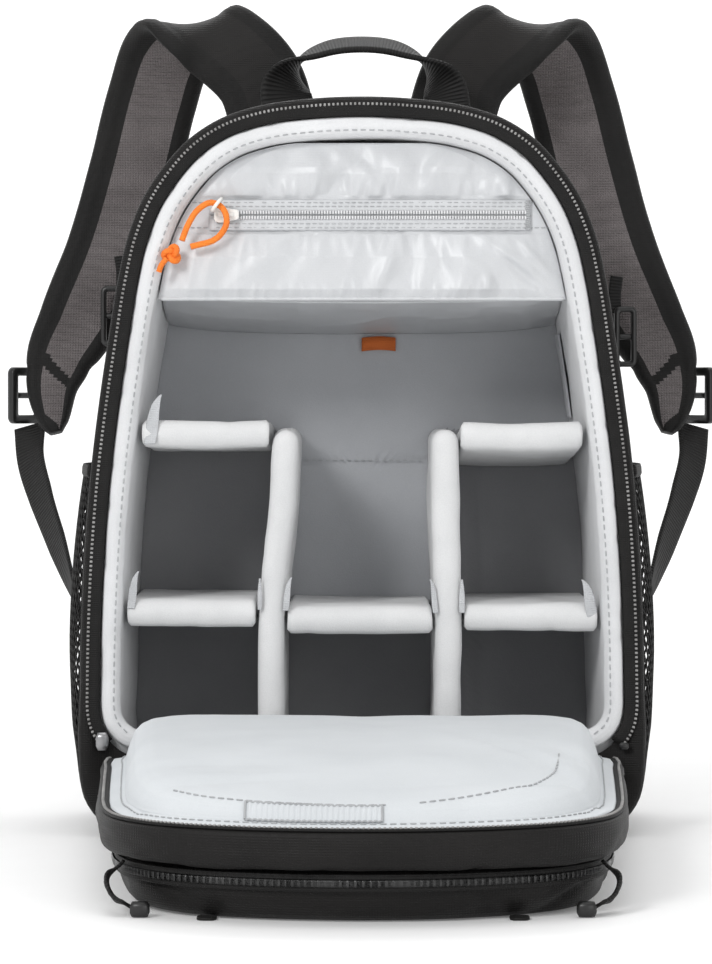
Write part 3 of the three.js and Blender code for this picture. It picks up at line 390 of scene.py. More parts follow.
def loft(name, loops, mats, wrap=True, ring=False, caps=True, slot_of=None):
    """Surface through loops (rows, count, 3). wrap closes each loop, ring joins the last row to the first."""
    loops = np.asarray(loops, float)
    rows, count = loops.shape[:2]
    columns = count if wrap else count - 1
    spans = rows if ring else rows - 1
    r, c = np.meshgrid(np.arange(spans), np.arange(columns), indexing="ij")
    r, c = r.ravel(), c.ravel()
    r2, c2 = (r + 1) % rows, (c + 1) % count
    faces = np.stack([r * count + c, r * count + c2, r2 * count + c2, r2 * count + c], 1)
    across = np.linalg.norm(np.roll(loops, -1, 1) - loops, axis=2).mean(0)
    along = np.linalg.norm(np.roll(loops, -1, 0) - loops, axis=2).mean(1)
    u = np.concatenate([[0], np.cumsum(across)])
    v = np.concatenate([[0], np.cumsum(along)])
    uv = np.stack([np.stack([u[c], v[r]], 1), np.stack([u[c + 1], v[r]], 1),
                   np.stack([u[c + 1], v[r + 1]], 1), np.stack([u[c], v[r + 1]], 1)], 1).reshape(-1, 2)
    face_list = faces.tolist()
    slots = [slot_of(int(a), int(b)) for a, b in zip(r, c)] if slot_of else [0] * len(face_list)
    if caps and not ring and wrap:
        face_list.append(list(range(count))[::-1])
        face_list.append([(rows - 1) * count + i for i in range(count)])
        slots += [0, 0]
        uv = np.vstack([uv, np.zeros((2 * count, 2))])
    return face_out(make(name, loops.reshape(-1, 3), face_list, mats, uv, slots))


def displace(obj, amount):
    """Moves each vertex along its normal by amount(points, normals), in metres."""
    mesh = obj.data
    n = len(mesh.vertices)
    co = np.empty(n * 3)
    no = np.empty(n * 3)
    mesh.vertices.foreach_get("co", co)
    mesh.vertex_normals.foreach_get("vector", no)
    co, no = co.reshape(-1, 3), no.reshape(-1, 3)
    co = co + no * amount(co, no)[:, None]
    mesh.vertices.foreach_set("co", co.ravel())
    mesh.update()
    return obj


def piece(obj, slot, *replaced, fill=None):
    """Rides on the body and stands for its solids, which it hides; the material slot is not used."""
    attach(obj, "root")
    if replaced:
        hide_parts(*replaced)
    return obj


def leaned(points):
    """Points of the upright body leaned back, as the solids are."""
    out = np.array(points, float)
    out[..., 1] += out[..., 2] * LEAN
    return out


def place_leaned(obj):
    """Leans a finished mesh back with the body."""
    obj.data.vertices.foreach_set("co", leaned(np.array([v.co[:] for v in obj.data.vertices])).ravel())
    obj.data.update()
    return obj


def corners_of(name):
    """Lowest and highest corners of a solid, as arrays."""
    return (np.array(p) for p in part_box(name))


def frames(path, side):
    """Tangent, side and face directions along a path (n, 3), with a wished side direction (n, 3)."""
    path = np.asarray(path, float)
    tangent = np.gradient(path, axis=0)
    tangent /= np.linalg.norm(tangent, axis=1)[:, None]
    side = np.asarray(side, float) - tangent * np.sum(np.asarray(side, float) * tangent, 1)[:, None]
    side /= np.linalg.norm(side, axis=1)[:, None]
    return tangent, side, np.cross(tangent, side)


def scatter(name, centres, axes, size, mat, taper=0.75):
    """Many small rounded bars: centre, three axes and a size each, as one mesh."""
    base = []
    for z, s in ((-1.0, taper), (-0.45, 1.0), (0.45, 1.0), (1.0, taper)):
        for x, y in ((-1, -0.6), (-0.6, -1), (0.6, -1), (1, -0.6), (1, 0.6), (0.6, 1), (-0.6, 1), (-1, 0.6)):
            base.append((x * s, y * s, z))
    base = np.array(base) * np.asarray(size) / 2
    quads = []
    for k in range(3):
        for i in range(8):
            j = (i + 1) % 8
            quads.append([k * 8 + i, k * 8 + j, k * 8 + 8 + j, k * 8 + 8 + i])
    verts = []
    faces = []
    caps = [list(range(8))[::-1], [24 + i for i in range(8)]]
    for n, (centre, (a, b, c)) in enumerate(zip(centres, axes)):
        verts.append(centre + base[:, :1] * a + base[:, 1:2] * b + base[:, 2:3] * c)
        faces += [[i + 32 * n for i in f] for f in quads + caps]
    return face_out(make(name, np.vstack(verts), faces, mat))


def on_surface(obj, points, direction, lift=0.0003, reach=0.03):
    """Points dropped along a direction onto an object's mesh, then lifted off it."""
    mesh = obj.data
    tree = BVHTree.FromPolygons([v.co[:] for v in mesh.vertices], [p.vertices[:] for p in mesh.polygons])
    way = Vector(direction).normalized()
    out = []
    for point in np.asarray(points, float):
        start = Vector(point) - way * reach
        hit = tree.ray_cast(start, way, 2 * reach)[0]
        out.append(np.array((hit if hit is not None else Vector(point)) - way * lift))
    return np.array(out)


def along_path(path, pitch):
    """Even stations on a polyline: (index floor, share) resampled points."""
    path = np.asarray(path, float)
    step = np.linalg.norm(np.diff(path, axis=0), axis=1)
    total = np.concatenate([[0], np.cumsum(step)])
    at = np.arange(pitch / 2, total[-1], pitch)
    return np.stack([np.interp(at, total, path[:, k]) for k in range(path.shape[1])], 1)


def row_of_bars(name, path, normal, pitch, size, mat, crosswise=True, taper=0.75):
    """Bars along a path (n, 3) lying on a surface with normals (n, 3): zip teeth or stitches."""
    both = along_path(np.hstack([path, np.broadcast_to(normal, np.shape(path))]), pitch)
    points, up = both[:, :3], both[:, 3:]
    up /= np.linalg.norm(up, axis=1)[:, None]
    tangent, _, _ = frames(points, up)
    side = np.cross(up, tangent)
    side /= np.linalg.norm(side, axis=1)[:, None]
    axes = list(zip(tangent, up, side)) if crosswise else list(zip(side, up, tangent))
    return scatter(name, points, axes, size, mat, taper)


# Outlines
ARCH = [(0.2, 1.0), (0.3, 0.996), (0.4, 0.984), (0.5, 0.963), (0.6, 0.931), (0.68, 0.9), (0.76, 0.866),
        (0.82, 0.829), (0.87, 0.775), (0.912, 0.7), (0.945, 0.618), (0.971, 0.51), (0.988, 0.37),
        (0.997, 0.19)]
LID = [(0.06, 0.995), (0.17, 0.98), (0.3, 0.962), (0.43, 0.943), (0.56, 0.924), (0.68, 0.903), (0.77, 0.876),
       (0.84, 0.826), (0.895, 0.74), (0.935, 0.63), (0.965, 0.48), (0.986, 0.31), (0.997, 0.13)]
DOME_RISE = [(0.0, 0.55), (0.06, 0.9), (0.16, 1.0), (0.4, 0.96), (0.65, 0.78), (0.85, 0.5), (1.0, 0.22)]


def arch_control(bottom):
    """Control points of the opening, down to a bottom height."""
    half = [(0, bottom), (0.45 * RIM_HALF, bottom), (RIM_HALF - CORNER, bottom)]
    for turn in (22.5, 45, 67.5):
        t = math.radians(turn)
        half.append((RIM_HALF - CORNER + CORNER * math.sin(t), bottom + CORNER - CORNER * math.cos(t)))
    half.append((RIM_HALF, min(bottom + CORNER, 0.2 * RIM_HEIGHT - 0.001)))
    half += [(out * RIM_HALF, up * RIM_HEIGHT) for up, out in ARCH]
    mirrored = [(-x, z) for x, z in half[:0:-1]]
    return np.array(half + [(0, RIM_HEIGHT)] + mirrored)


def grow(loop, amount):
    """Outline moved out by an amount along its corners."""
    before = np.roll(loop, 1, 0)
    after = np.roll(loop, -1, 0)
    a = np.stack([loop[:, 1] - before[:, 1], before[:, 0] - loop[:, 0]], 1)
    b = np.stack([after[:, 1] - loop[:, 1], loop[:, 0] - after[:, 0]], 1)
    a /= np.linalg.norm(a, axis=1)[:, None]
    b /= np.linalg.norm(b, axis=1)[:, None]
    mid = a + b
    mid /= np.linalg.norm(mid, axis=1)[:, None]
    reach = amount / np.maximum(0.6, np.sum(mid * a, 1))
    return loop + mid * reach[:, None]


ARCH_BASE = arch_control(SILL)
ARCH_STEPS = [max(1, round(d / 0.0032)) for d in
              np.linalg.norm(np.roll(ARCH_BASE, -1, 0) - ARCH_BASE, axis=1)]


def arch(inset, bottom=RIM_MARGIN):
    """Smooth outline, inset from the zip line, as (n, 2)."""
    return hermite(grow(arch_control(bottom), -inset), ARCH_STEPS, True)


def upright(flat, y):
    """Outline in x and z stood up at one depth."""
    return np.stack([flat[:, 0], np.full(len(flat), y), flat[:, 1]], 1)


def half_at(flat, height):
    """Half width of an outline at one height."""
    x, z = flat[:, 0], flat[:, 1]
    x1, z1 = np.roll(x, -1), np.roll(z, -1)
    hit = ((z - height) * (z1 - height) <= 0) & (z != z1)
    share = (height - z[hit]) / (z1[hit] - z[hit])
    return float(np.max(x[hit] + share * (x1[hit] - x[hit]))) if hit.any() else 0.0


def lid_control(inset):
    """Control points of the lid, as x and distance from the hinge."""
    half = [(0, 0), (0.5 * LID_HALF, 0), (0.93 * LID_HALF, 0), (0.985 * LID_HALF, 0.018 * LID_LENGTH)]
    half += [(h * LID_HALF, out * LID_LENGTH) for out, h in LID]
    mirrored = [(-x, out) for x, out in half[:0:-1]]
    flat = np.array(half + [(0, LID_LENGTH)] + mirrored)
    middle = LID_LENGTH / 2
    flat[:, 0] *= 1 - inset / LID_HALF
    flat[:, 1] = middle + (flat[:, 1] - middle) * (1 - inset / middle)
    return flat


LID_BASE = lid_control(0)
LID_STEPS = [max(1, round(d / 0.003)) for d in np.linalg.norm(np.roll(LID_BASE, -1, 0) - LID_BASE, axis=1)]


def lid_outline(inset):
    """Smooth outline of the lid, inset from its edge."""
    return hermite(lid_control(inset), LID_STEPS, True)


def level(flat, z):
    """Lid outline laid flat at a height."""
    height = np.full(len(flat), z) if np.isscalar(z) else z
    return np.stack([flat[:, 0], HINGE - flat[:, 1], height], 1)


def smooth_rows(rows, parts):
    """Fills a table of rows (each a tuple of numbers) with smooth steps between them."""
    return hermite(np.array(rows, float), [parts] * len(rows), False)


def sheet_solid(name, front, back, mats, slot_of=None):
    """Cloth of real thickness between two grids (rows, columns, 3)."""
    rows, columns = front.shape[:2]
    verts = np.vstack([front.reshape(-1, 3), back.reshape(-1, 3)])
    faces = []
    slots = []
    uv = []
    across = np.concatenate([[0], np.cumsum(np.linalg.norm(np.diff(front, axis=1), axis=2).mean(0))])
    along = np.concatenate([[0], np.cumsum(np.linalg.norm(np.diff(front, axis=0), axis=2).mean(1))])
    shift = rows * columns
    for i in range(rows - 1):
        for j in range(columns - 1):
            a, b = i * columns + j, i * columns + j + 1
            c, d = b + columns, a + columns
            slot = slot_of(i, j) if slot_of else 0
            corners = [(across[j], along[i]), (across[j + 1], along[i]),
                       (across[j + 1], along[i + 1]), (across[j], along[i + 1])]
            faces += [[a, b, c, d], [d + shift, c + shift, b + shift, a + shift]]
            slots += [slot, slot]
            uv += corners + corners[::-1]
    border = [(0, j) for j in range(columns)] + [(i, columns - 1) for i in range(1, rows)]
    border += [(rows - 1, j) for j in range(columns - 2, -1, -1)] + [(i, 0) for i in range(rows - 2, 0, -1)]
    ids = [i * columns + j for i, j in border]
    for k, a in enumerate(ids):
        b = ids[(k + 1) % len(ids)]
        faces.append([a, a + shift, b + shift, b])
        slots.append(0)
        uv += [(0, 0)] * 4
    return face_out(make(name, verts, faces, mats, uv, slots))


def rounded_section(half_a, half_b, radius, corner=5):
    """Rounded rectangle about the origin as (n, 2)."""
    out = []
    for sx, sy, start in ((1, -1, -90), (1, 1, 0), (-1, 1, 90), (-1, -1, 180)):
        for k in range(corner + 1):
            t = math.radians(start + 90 * k / corner)
            out.append((sx * (half_a - radius) + radius * math.cos(t),
                        sy * (half_b - radius) + radius * math.sin(t)))
    return np.array(out)


# Pull cord and its knot
EYE_Y = FRONT - 0.0031
EYE = np.array([-0.070, EYE_Y, 0.3036])
CORD_DIAMETER = 0.003
CORD_ROUTE = [(-0.0168, -0.0174, -0.0006), (-0.0136, -0.0092, 0.0002), (-0.0086, -0.0020, 0.0),
              (-0.0026, 0.0010, 0.0), (0.0030, -0.0020, 0.0), (0.0048, -0.0085, 0.0),
              (0.0006, -0.0158, 0.0004), (-0.0126, -0.0204, -0.0004)]
KNOT = np.array([-0.0216, 0.0, -0.0240])


def curve_object(name, points, radius, mat, closed=False, resolution=4):
    """Round cord or piping through points."""
    data = bpy.data.curves.new(name, "CURVE")
    data.dimensions = "3D"
    data.bevel_depth = radius
    data.bevel_resolution = resolution
    data.use_fill_caps = True
    spline = data.splines.new("POLY")
    spline.points.add(len(points) - 1)
    for point, place in zip(spline.points, points):
        point.co = (*place, 1.0)
    spline.use_cyclic_u = closed
    spline.use_smooth = True
    data.materials.append(mat)
    made = bpy.data.objects.new(name, data)
    scene.collection.objects.link(made)
    return made


route = leaned([EYE + np.array([x, y, z]) for x, z, y in CORD_ROUTE])
cord_points = hermite(route, [4] * len(route), False)
pull_cord = curve_object("pull_cord_loop", cord_points, CORD_DIAMETER / 2, ORANGE)
piece(pull_cord, "orange_cord", "pull_cord")

turns = np.linspace(0, 2 * math.pi, 72, endpoint=False)
knot_loop = np.stack([np.sin(turns) + 2 * np.sin(2 * turns), 0.85 * -np.sin(3 * turns),
                      np.cos(turns) - 2 * np.cos(2 * turns)], 1) * 0.00128
tilt = math.radians(38)
knot_loop = np.stack([knot_loop[:, 0] * math.cos(tilt) - knot_loop[:, 2] * math.sin(tilt), knot_loop[:, 1],
                      knot_loop[:, 0] * math.sin(tilt) + knot_loop[:, 2] * math.cos(tilt)], 1)
knot = curve_object("pull_knot_turns", leaned(knot_loop + EYE + KNOT), 0.00152, ORANGE, True)
piece(knot, "orange_cord", "pull_knot")
TAIL = [(-0.0026, -0.0012, -0.0022), (-0.0052, -0.0016, -0.0058), (-0.0062, -0.0012, -0.0086)]
tail_points = hermite([EYE + KNOT + np.array(p) for p in TAIL], [6] * 3, False)
tail = piece(curve_object("pull_cord_tail", leaned(tail_points), 0.0014, ORANGE), "orange_cord")
tuple(float(v) for v in leaned(EYE))


# Body shell and zip
def shell(inset):
    """Outline of the black shell, inset from its outside."""
    return arch(inset - RIM_MARGIN)


SHELL_ROWS = smooth_rows([(0.984, 0.0400), (0.999, 0.0240), (0.992, 0.0130), (0.970, 0.0068), (0.935, 0.0034),
                          (0.86, 0.0012), (0.70, 0.0004), (0.45, 0.0), (0.20, 0.0), (0.04, 0.0001),
                          (0.008, 0.0007), (0.0, 0.0018)], 5)
rows = [upright(shell(inset), FRONT + depth * BODY_DEPTH) for depth, inset in SHELL_ROWS]
mouth = arch(ZIP_INNER, SILL - 0.0033)
rows += [upright(shell(0.0034), FRONT - 0.0001), upright(mouth, FRONT), upright(mouth, FRONT + SHELL_WALL),
         upright(shell(SHELL_WALL), FRONT + SHELL_WALL), upright(shell(SHELL_WALL), 0.0),
         upright(shell(0.0062), BACK - 0.0160), upright(shell(0.0196), BACK - SHELL_WALL)]
body = loft("body_shell_cloth", rows, NYLON)


def body_dents(co, no):
    """Slack cloth: soft dents on the sides and back, none on the base or the front rim."""
    side = np.clip((co[:, 2] - 0.012) / 0.03, 0, 1) * np.clip((co[:, 1] - FRONT - 0.004) / 0.03, 0, 1)
    outward = (no[:, 0] * co[:, 0] + no[:, 2] * (co[:, 2] - 0.15) + no[:, 1] * co[:, 1]) > 0
    soft = 0.0016 * rough_noise(co, (14, 20, 12), 3, 2.0)
    fold = 0.0014 * creases(co, (9, 26, 17), 5.0) ** 3
    return side * outward * (soft - fold)


displace(body, body_dents)
shaped = np.array([v.co[:] for v in body.data.vertices])
shaped[:, 2] = np.maximum(shaped[:, 2], 0.0)
body.data.vertices.foreach_set("co", leaned(shaped).ravel())
piece(body, "black_nylon", "body_shell")


def strip_along(name, path, widths, heights, up, mat, slot, *replaced, crown=0.35):
    """Tape of stated width and height along an open path (n, 3) on a face whose normals are up (n, 3)."""
    up = np.broadcast_to(up, path.shape)
    tangent, side, _ = frames(path, np.cross(up, np.gradient(path, axis=0)))
    section = [(-1, 0), (-0.98, 0.7), (-0.86, 1.0), (-crown, 1.0), (0, 1.0), (crown, 1.0), (0.86, 1.0),
               (0.98, 0.7), (1, 0)]
    loops = [path + side * widths / 2 * a + up * heights * b for a, b in section]
    return piece(loft(name, np.stack(loops, 1), mat), slot, *replaced)


zip_flat = arch((ZIP_INNER - ZIP_OUTER) / 2, SILL)
starts = np.concatenate([[0], np.cumsum(ARCH_STEPS)])
zip_part = zip_flat[starts[4]:starts[38] + 1]
zip_path = leaned(upright(zip_part, FRONT - GAP))
toward = np.array([0.0, -1.0, 0.0])
strip_along("body_zip_tape", zip_path, 0.0068, 0.0011, toward, BINDING, "black_webbing", "body_zip")
teeth_flat = arch(-0.0026, SILL)[starts[4]:starts[38] + 1]
teeth_path = leaned(upright(teeth_flat, FRONT - GAP)) + toward * 0.0013
# Teeth in pale grey: painted glints along the dark zip.
body_teeth = row_of_bars("body_zip_teeth", teeth_path, toward, TEETH_PITCH, TOOTH, TEETH)
piece(body_teeth, "grey_metal")
PLAIN_AXES = [(np.array([1.0, 0, 0]), np.array([0, 1.0, 0]), np.array([0, 0, 1.0]))]
SLIDER_LIFT = np.array([0.0, -0.0012, 0.0])
slider_place = leaned(np.array([-0.1242, FRONT - 0.0028, 0.0462])) + SLIDER_LIFT
zip_slider = scatter("body_zip_slider_body", [slider_place], PLAIN_AXES, (0.0060, 0.0022, 0.0085), METAL, 0.7)
piece(zip_slider, "grey_metal", "body_zip_slider")
end_place = leaned(np.array([0.1252, FRONT - 0.0028, 0.0440])) + SLIDER_LIFT
piece(scatter("body_zip_end", [end_place], PLAIN_AXES, (0.0046, 0.0016, 0.0034), PLASTIC, 0.7), "grey_metal")

# Padded light lining: a rounded lip in front, a flat wall behind it
LINING_ROWS = [(-0.0668, 0.0036, SILL), (-0.0688, 0.0044, SILL), (-0.0697, 0.0062, SILL),
               (-0.0699, 0.0082, SILL), (-0.0693, 0.0108, SILL), (-0.0668, 0.0130, SILL),
               (-0.0620, 0.0133, 0.026), (-0.0560, 0.0137, 0.0065), (0.0, 0.0141, 0.0065),
               (0.0590, 0.0145, 0.0065), (0.0590, 0.0052, 0.0065),
               (-0.0641, -0.0014, 0.0065), (-0.0641, 0.0036, SILL)]
lining_rows = [upright(arch(inset, bottom), y) for y, inset, bottom in LINING_ROWS]
dense = []
for i, row in enumerate(lining_rows[:-4]):
    parts = 3 if i < 7 else 16
    after = lining_rows[i + 1]
    dense += [row + (after - row) * k / parts for k in range(parts)]
dense += lining_rows[-4:]
lining = loft("lining_padded_wall", dense, LINING, ring=True)


def lining_swell(co, no):
    facing_in = (no[:, 0] * co[:, 0] + no[:, 2] * (co[:, 2] - 0.16)) < 0.004
    inner = np.clip((co[:, 1] + 0.071) / 0.002, 0, 1) * facing_in
    lip = np.exp(-((co[:, 1] + 0.0690) / 0.004) ** 2)
    pinch = 0.0007 * creases(co, (60, 20, 60), 3.0) ** 4 * lip
    return 0.0005 * rough_noise(co, (26, 30, 26), 3, 1.0) * inner - pinch


displace(lining, lining_swell)
place_leaned(lining)
piece(lining, "light_lining", "lining_wall", fill=0.7)

lip_line = arch(0.0101, SILL)[starts[3]:starts[39] + 1]
lip_path = on_surface(lining, leaned(upright(lip_line, -0.0699)), (0, 1, 0))
piece(row_of_bars("lining_stitches", lip_path, toward, 0.0042, (0.0026, 0.0005, 0.0006), STITCH),
      "grey_lining")


# Inner back panel
def back_rows():
    outline = arch(0.0060 + 0.0002)
    middle = np.array([0.0, 0.165])
    shares = list(np.linspace(0.04, 0.97, 34)) + [0.985, 1.0]
    front = [middle + (outline - middle) * s for s in shares]
    return outline, front, shares


outline, front_loops, shares = back_rows()
rows = [upright(loop, 0.0593 + 0.0006 * max(0.0, s - 0.97) / 0.03) for loop, s in zip(front_loops, shares)]
rows += [upright(arch(0.0075), 0.0615), upright(arch(0.0150), 0.0641)]


# The cells below the shelves, at the sides and along the bottom, take the darker grey: painted shade where
# the shelves shade the back.
def painted_shade_slot(i, j):
    loop = rows[min(i, len(rows) - 1)]
    x, z = loop[j][0], loop[j][2]
    side = abs(x) > 0.040
    return 1 if z < 0.108 or (side and z < 0.1925) else 0


back_panel = loft("lining_back_panel", rows, [GREY_BACK, PAINTED_SHADE_GREY], slot_of=painted_shade_slot)


def back_seams(co, no):
    front = np.clip(-no[:, 1], 0, 1)
    sewn = np.exp(-((co[:, 2] - 0.1785) / 0.0016) ** 2) * (np.abs(co[:, 0]) < 0.040)
    sewn += np.exp(-((co[:, 0] - 0.0565) / 0.0016) ** 2) * (co[:, 2] < 0.2)
    return front * (0.0007 * rough_noise(co, (22, 8, 22), 2, 4.0) - 0.0016 * sewn)


displace(back_panel, back_seams)
place_leaned(back_panel)
piece(back_panel, "grey_lining", "lining_back", fill=0.4)
sewn = np.stack([np.linspace(-0.030, 0.033, 30), np.full(30, 0.0585), np.full(30, 0.1785)], 1)
piece(row_of_bars("back_stitches", leaned(sewn), toward, 0.0036,
                  (0.0022, 0.0005, 0.0005), STITCH), "grey_lining")

# Dividers
SHELF_THICK = 0.0135
POST_THICK = 0.0132
POST_TOP = 0.195
DIVIDER_FRONT = FRONT + 0.0035
DIVIDER_BACK = 0.0587
POST_LEFT = [(0.02, -0.0435), (0.105, -0.0438), (0.128, -0.0418), (0.158, -0.0386), (0.195, -0.0368)]
POST_RIGHT = [(0.02, 0.0406), (0.105, 0.0416), (0.150, 0.0404), (0.195, 0.0402)]


def brushed(seed, amount=0.0006):
    def swell(co, no):
        pinch = 0.0005 * creases(co, (24, 16, 24), seed + 2) ** 4
        return amount * rough_noise(co, (34, 30, 34), 3, seed) - pinch
    return swell


def soft_ends(n, end):
    """Share of the full section along n stations, rounded over at both ends."""
    t = np.linspace(0, 1, n)
    edge = np.minimum(t, 1 - t) / end
    return np.where(edge < 1, 0.72 + 0.28 * np.sqrt(np.clip(1 - (1 - np.clip(edge, 0, 1)) ** 2, 0, 1)), 1.0)


def shelf(name, top, drop, seed, sag=0.0):
    """Level divider: a pillow that sags a little and rounds off in front."""
    low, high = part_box(name)
    x0, x1 = low[0] + 0.0002, high[0] - 0.0002
    stations = 44
    depth = 40
    xs = np.linspace(x0, x1, stations)
    size = soft_ends(stations, 0.03)
    ys = DIVIDER_FRONT + (DIVIDER_BACK - DIVIDER_FRONT) * np.linspace(0, 1, depth) ** 1.15
    nose = np.minimum(1.0, (ys - DIVIDER_FRONT) / 0.0062)
    half = SHELF_THICK / 2 * np.sqrt(np.clip(1 - (1 - nose) ** 2, 0, 1)) * 1.0
    loops = []
    for x, s in zip(xs, size):
        u = (x - x0) / (x1 - x0)
        middle = top - SHELF_THICK / 2 - drop * (ys - DIVIDER_FRONT) / (DIVIDER_BACK - DIVIDER_FRONT)
        middle = middle - sag * math.sin(math.pi * u)
        upper = np.stack([np.full(depth, x), ys, middle + half * s], 1)
        lower = np.stack([np.full(depth, x), ys, middle - half * s], 1)
        loops.append(np.vstack([upper[::-1], lower[1:]]))
    made = loft(name + "_pad", loops, DIVIDER)
    displace(made, brushed(seed))
    return piece(place_leaned(made), "light_lining", name, fill=0.75)


shelf("divider_upper_left", 0.2000, 0.0030, 11.0, 0.0006)
shelf("divider_upper_right", 0.1995, 0.0100, 12.0, 0.0010)
shelf("divider_lower_left", 0.1135, 0.0010, 13.0)
shelf("divider_lower_middle", 0.1105, 0.0010, 14.0, 0.0004)
shelf("divider_lower_right", 0.1115, 0.0010, 15.0)


def upright_pad(name, table, seed):
    """Standing divider, from a table of heights and middles."""
    stations = 64
    z0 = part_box(name)[0][2]
    zs = np.linspace(z0, POST_TOP, stations)
    zs[-6:] = POST_TOP - np.array([0.0072, 0.0046, 0.0026, 0.0013, 0.0004, 0.0])
    centre = np.interp(zs, [r[0] for r in table], [r[1] for r in table])
    width = np.interp(zs, [0.02, 0.054, 0.105, 0.128, 0.158, 0.187], [1.0, 0.93, 0.96, 1.0, 1.05, 1.0])
    width *= np.sqrt(np.clip(1 - np.clip((zs - (POST_TOP - 0.0066)) / 0.0068, 0, 1) ** 2, 0.02, 1))
    depth = 36
    share = np.linspace(0, 1, depth) ** 1.2
    loops = []
    for z, c, w in zip(zs, centre, width):
        pull = 0.0096 * np.clip((0.050 - z) / 0.030, 0, 1) ** 1.5 + 0.006 * (1 - min(1.0, w)) * 0.6
        ys = DIVIDER_FRONT + pull + (DIVIDER_BACK - DIVIDER_FRONT - pull) * share
        nose = np.minimum(1.0, (ys - DIVIDER_FRONT - pull) / 0.0062)
        half = POST_THICK / 2 * w * np.sqrt(np.clip(1 - (1 - nose) ** 2, 0, 1))
        right = np.stack([c + half, ys, np.full(depth, z)], 1)
        left = np.stack([c - half, ys, np.full(depth, z)], 1)
        loops.append(np.vstack([right[::-1], left[1:]]))
    made = loft(name + "_pad", loops, DIVIDER)
    displace(made, brushed(seed))
    return piece(place_leaned(made), "light_lining", name, fill=0.75)


upright_pad("divider_post_left", POST_LEFT, 21.0)
upright_pad("divider_post_right", POST_RIGHT, 22.0)

# Narrow hook tabs, each with the side that its point leans to
TABS = [("tab_upper_left", 1), ("tab_lower_left", 1), ("tab_lower_right", -1), ("tab_post_left_a", 0),
        ("tab_post_left_b", 1), ("tab_post_right_a", -1), ("tab_post_right_b", 0)]
for k, (name, way) in enumerate(TABS):
    low, high = corners_of(name)
    tall, wide = high[2] - low[2], high[0] - low[0]
    loops = []
    for share in np.linspace(0, 1, 26):
        width = wide * np.interp(share, (0, 0.2, 0.5, 0.8, 0.93, 1), (0.62, 0.68, 0.66, 0.46, 0.26, 0.10))
        z = low[2] + tall * share
        x = (low[0] + high[0]) / 2 + way * (share - 0.5) * (wide - width) * 0.96
        y = low[1] + (z - low[2]) * LEAN + 0.0016 + 0.0006 * math.sin(share * 3 + k)
        section = rounded_section(max(0.0005, width / 2), 0.0006, min(0.00055, width / 2.2))
        loops.append(np.stack([x + section[:, 0], y + section[:, 1] - way * section[:, 0] * 0.25,
                               np.full(len(section), z)], 1))
    piece(loft(name + "_cloth", loops, TAB_CLOTH), "light_lining", name)


# Upper pocket
POCKET_Y = FRONT + 0.007
FLAT_HALF = POCKET_BAND / 2 + 0.0008
POCKET_TOP = RIM_HEIGHT - LIP_INNER - 0.0026
pocket_outline = arch(LIP_INNER + GAP + 0.0006)
columns, below, above = 236, 66, 62
zs = np.concatenate([np.linspace(POCKET_BOTTOM, POCKET_ZIP - FLAT_HALF, below),
                     np.linspace(POCKET_ZIP - FLAT_HALF, POCKET_ZIP + FLAT_HALF, 7)[1:],
                     np.linspace(POCKET_ZIP + FLAT_HALF, POCKET_TOP, above)[1:]])
u = np.linspace(-1, 1, columns)
half = np.array([half_at(pocket_outline, z) for z in zs])
grid_x = half[:, None] * u[None, :]
grid_z = np.repeat(zs[:, None], columns, 1)
away = np.maximum(0.0, np.abs(grid_z - POCKET_ZIP) - FLAT_HALF)
edge = np.minimum(1.0, (1 - np.abs(u))[None, :] * 7)
top_fade = np.minimum(1.0, (POCKET_TOP - grid_z) / 0.012)
low_fade = np.clip((grid_z - POCKET_BOTTOM) / 0.005, 0, 1)
dice = np.random.default_rng(11)
gathers = []
for level_sign in (1, -1):
    for x0 in np.arange(-0.084, 0.088, 0.0052):
        gathers.append((x0 + dice.uniform(-0.0016, 0.0016), POCKET_ZIP + level_sign * (FLAT_HALF + 0.0035),
                        dice.uniform(-0.35, 0.35) + 3.0 * x0 * level_sign, dice.uniform(0.004, 0.011),
                        dice.uniform(0.0018, 0.0030),
                        dice.uniform(0.0006, 0.0014) * (1 if level_sign > 0 else 0.7)))
long_folds = []
for k in range(26):
    long_folds.append((dice.uniform(-0.078, 0.076), POCKET_ZIP + dice.uniform(0.012, 0.034),
                       dice.uniform(-0.65, 0.65),
                       dice.uniform(0.010, 0.021), dice.uniform(0.0034, 0.0062),
                       dice.choice((-1, 1)) * dice.uniform(0.0009, 0.0020)))
for k in range(15):
    long_folds.append((dice.uniform(0.004, 0.070), POCKET_BOTTOM + dice.uniform(0.004, 0.026),
                       dice.uniform(-0.6, 0.5),
                       dice.uniform(0.008, 0.016), dice.uniform(0.0030, 0.0056),
                       dice.choice((-1, 1)) * dice.uniform(0.0008, 0.0018)))
# Long slanted folds at the right, wide slack ones at the left, and puckers along the lower seam
long_folds += [(0.068, 0.281, -0.95, 0.022, 0.0026, 0.0017), (0.076, 0.272, -0.85, 0.020, 0.0024, -0.0013),
               (0.083, 0.279, -0.75, 0.016, 0.0022, 0.0014), (-0.052, 0.274, 0.9, 0.026, 0.0060, 0.0014),
               (-0.030, 0.283, 0.6, 0.018, 0.0050, -0.0012), (-0.074, 0.270, 0.3, 0.016, 0.0045, 0.0010)]
puckers = [(x0 + dice.uniform(-0.002, 0.002), POCKET_BOTTOM + 0.002, dice.uniform(-0.4, 0.4),
            dice.uniform(0.003, 0.007), dice.uniform(0.0012, 0.0020), dice.uniform(0.0003, 0.0009))
           for x0 in np.arange(-0.09, 0.092, 0.0062)]
flat = np.stack([grid_x.ravel(), grid_z.ravel() * 0, grid_z.ravel()], 1)
billow = 0.0011 * rough_noise(flat, (22, 1, 26), 2, 47.0).reshape(grid_x.shape)
puff = 0.0040 * np.minimum(1.0, away / 0.012) ** 0.8 * edge * top_fade * (0.3 + 0.7 * low_fade)
folds = fold_lines(grid_x, grid_z, gathers) + fold_lines(grid_x, grid_z, long_folds) + billow
folds = folds * edge * top_fade * (0.25 + 0.75 * low_fade) + fold_lines(grid_x, grid_z, puckers) * edge
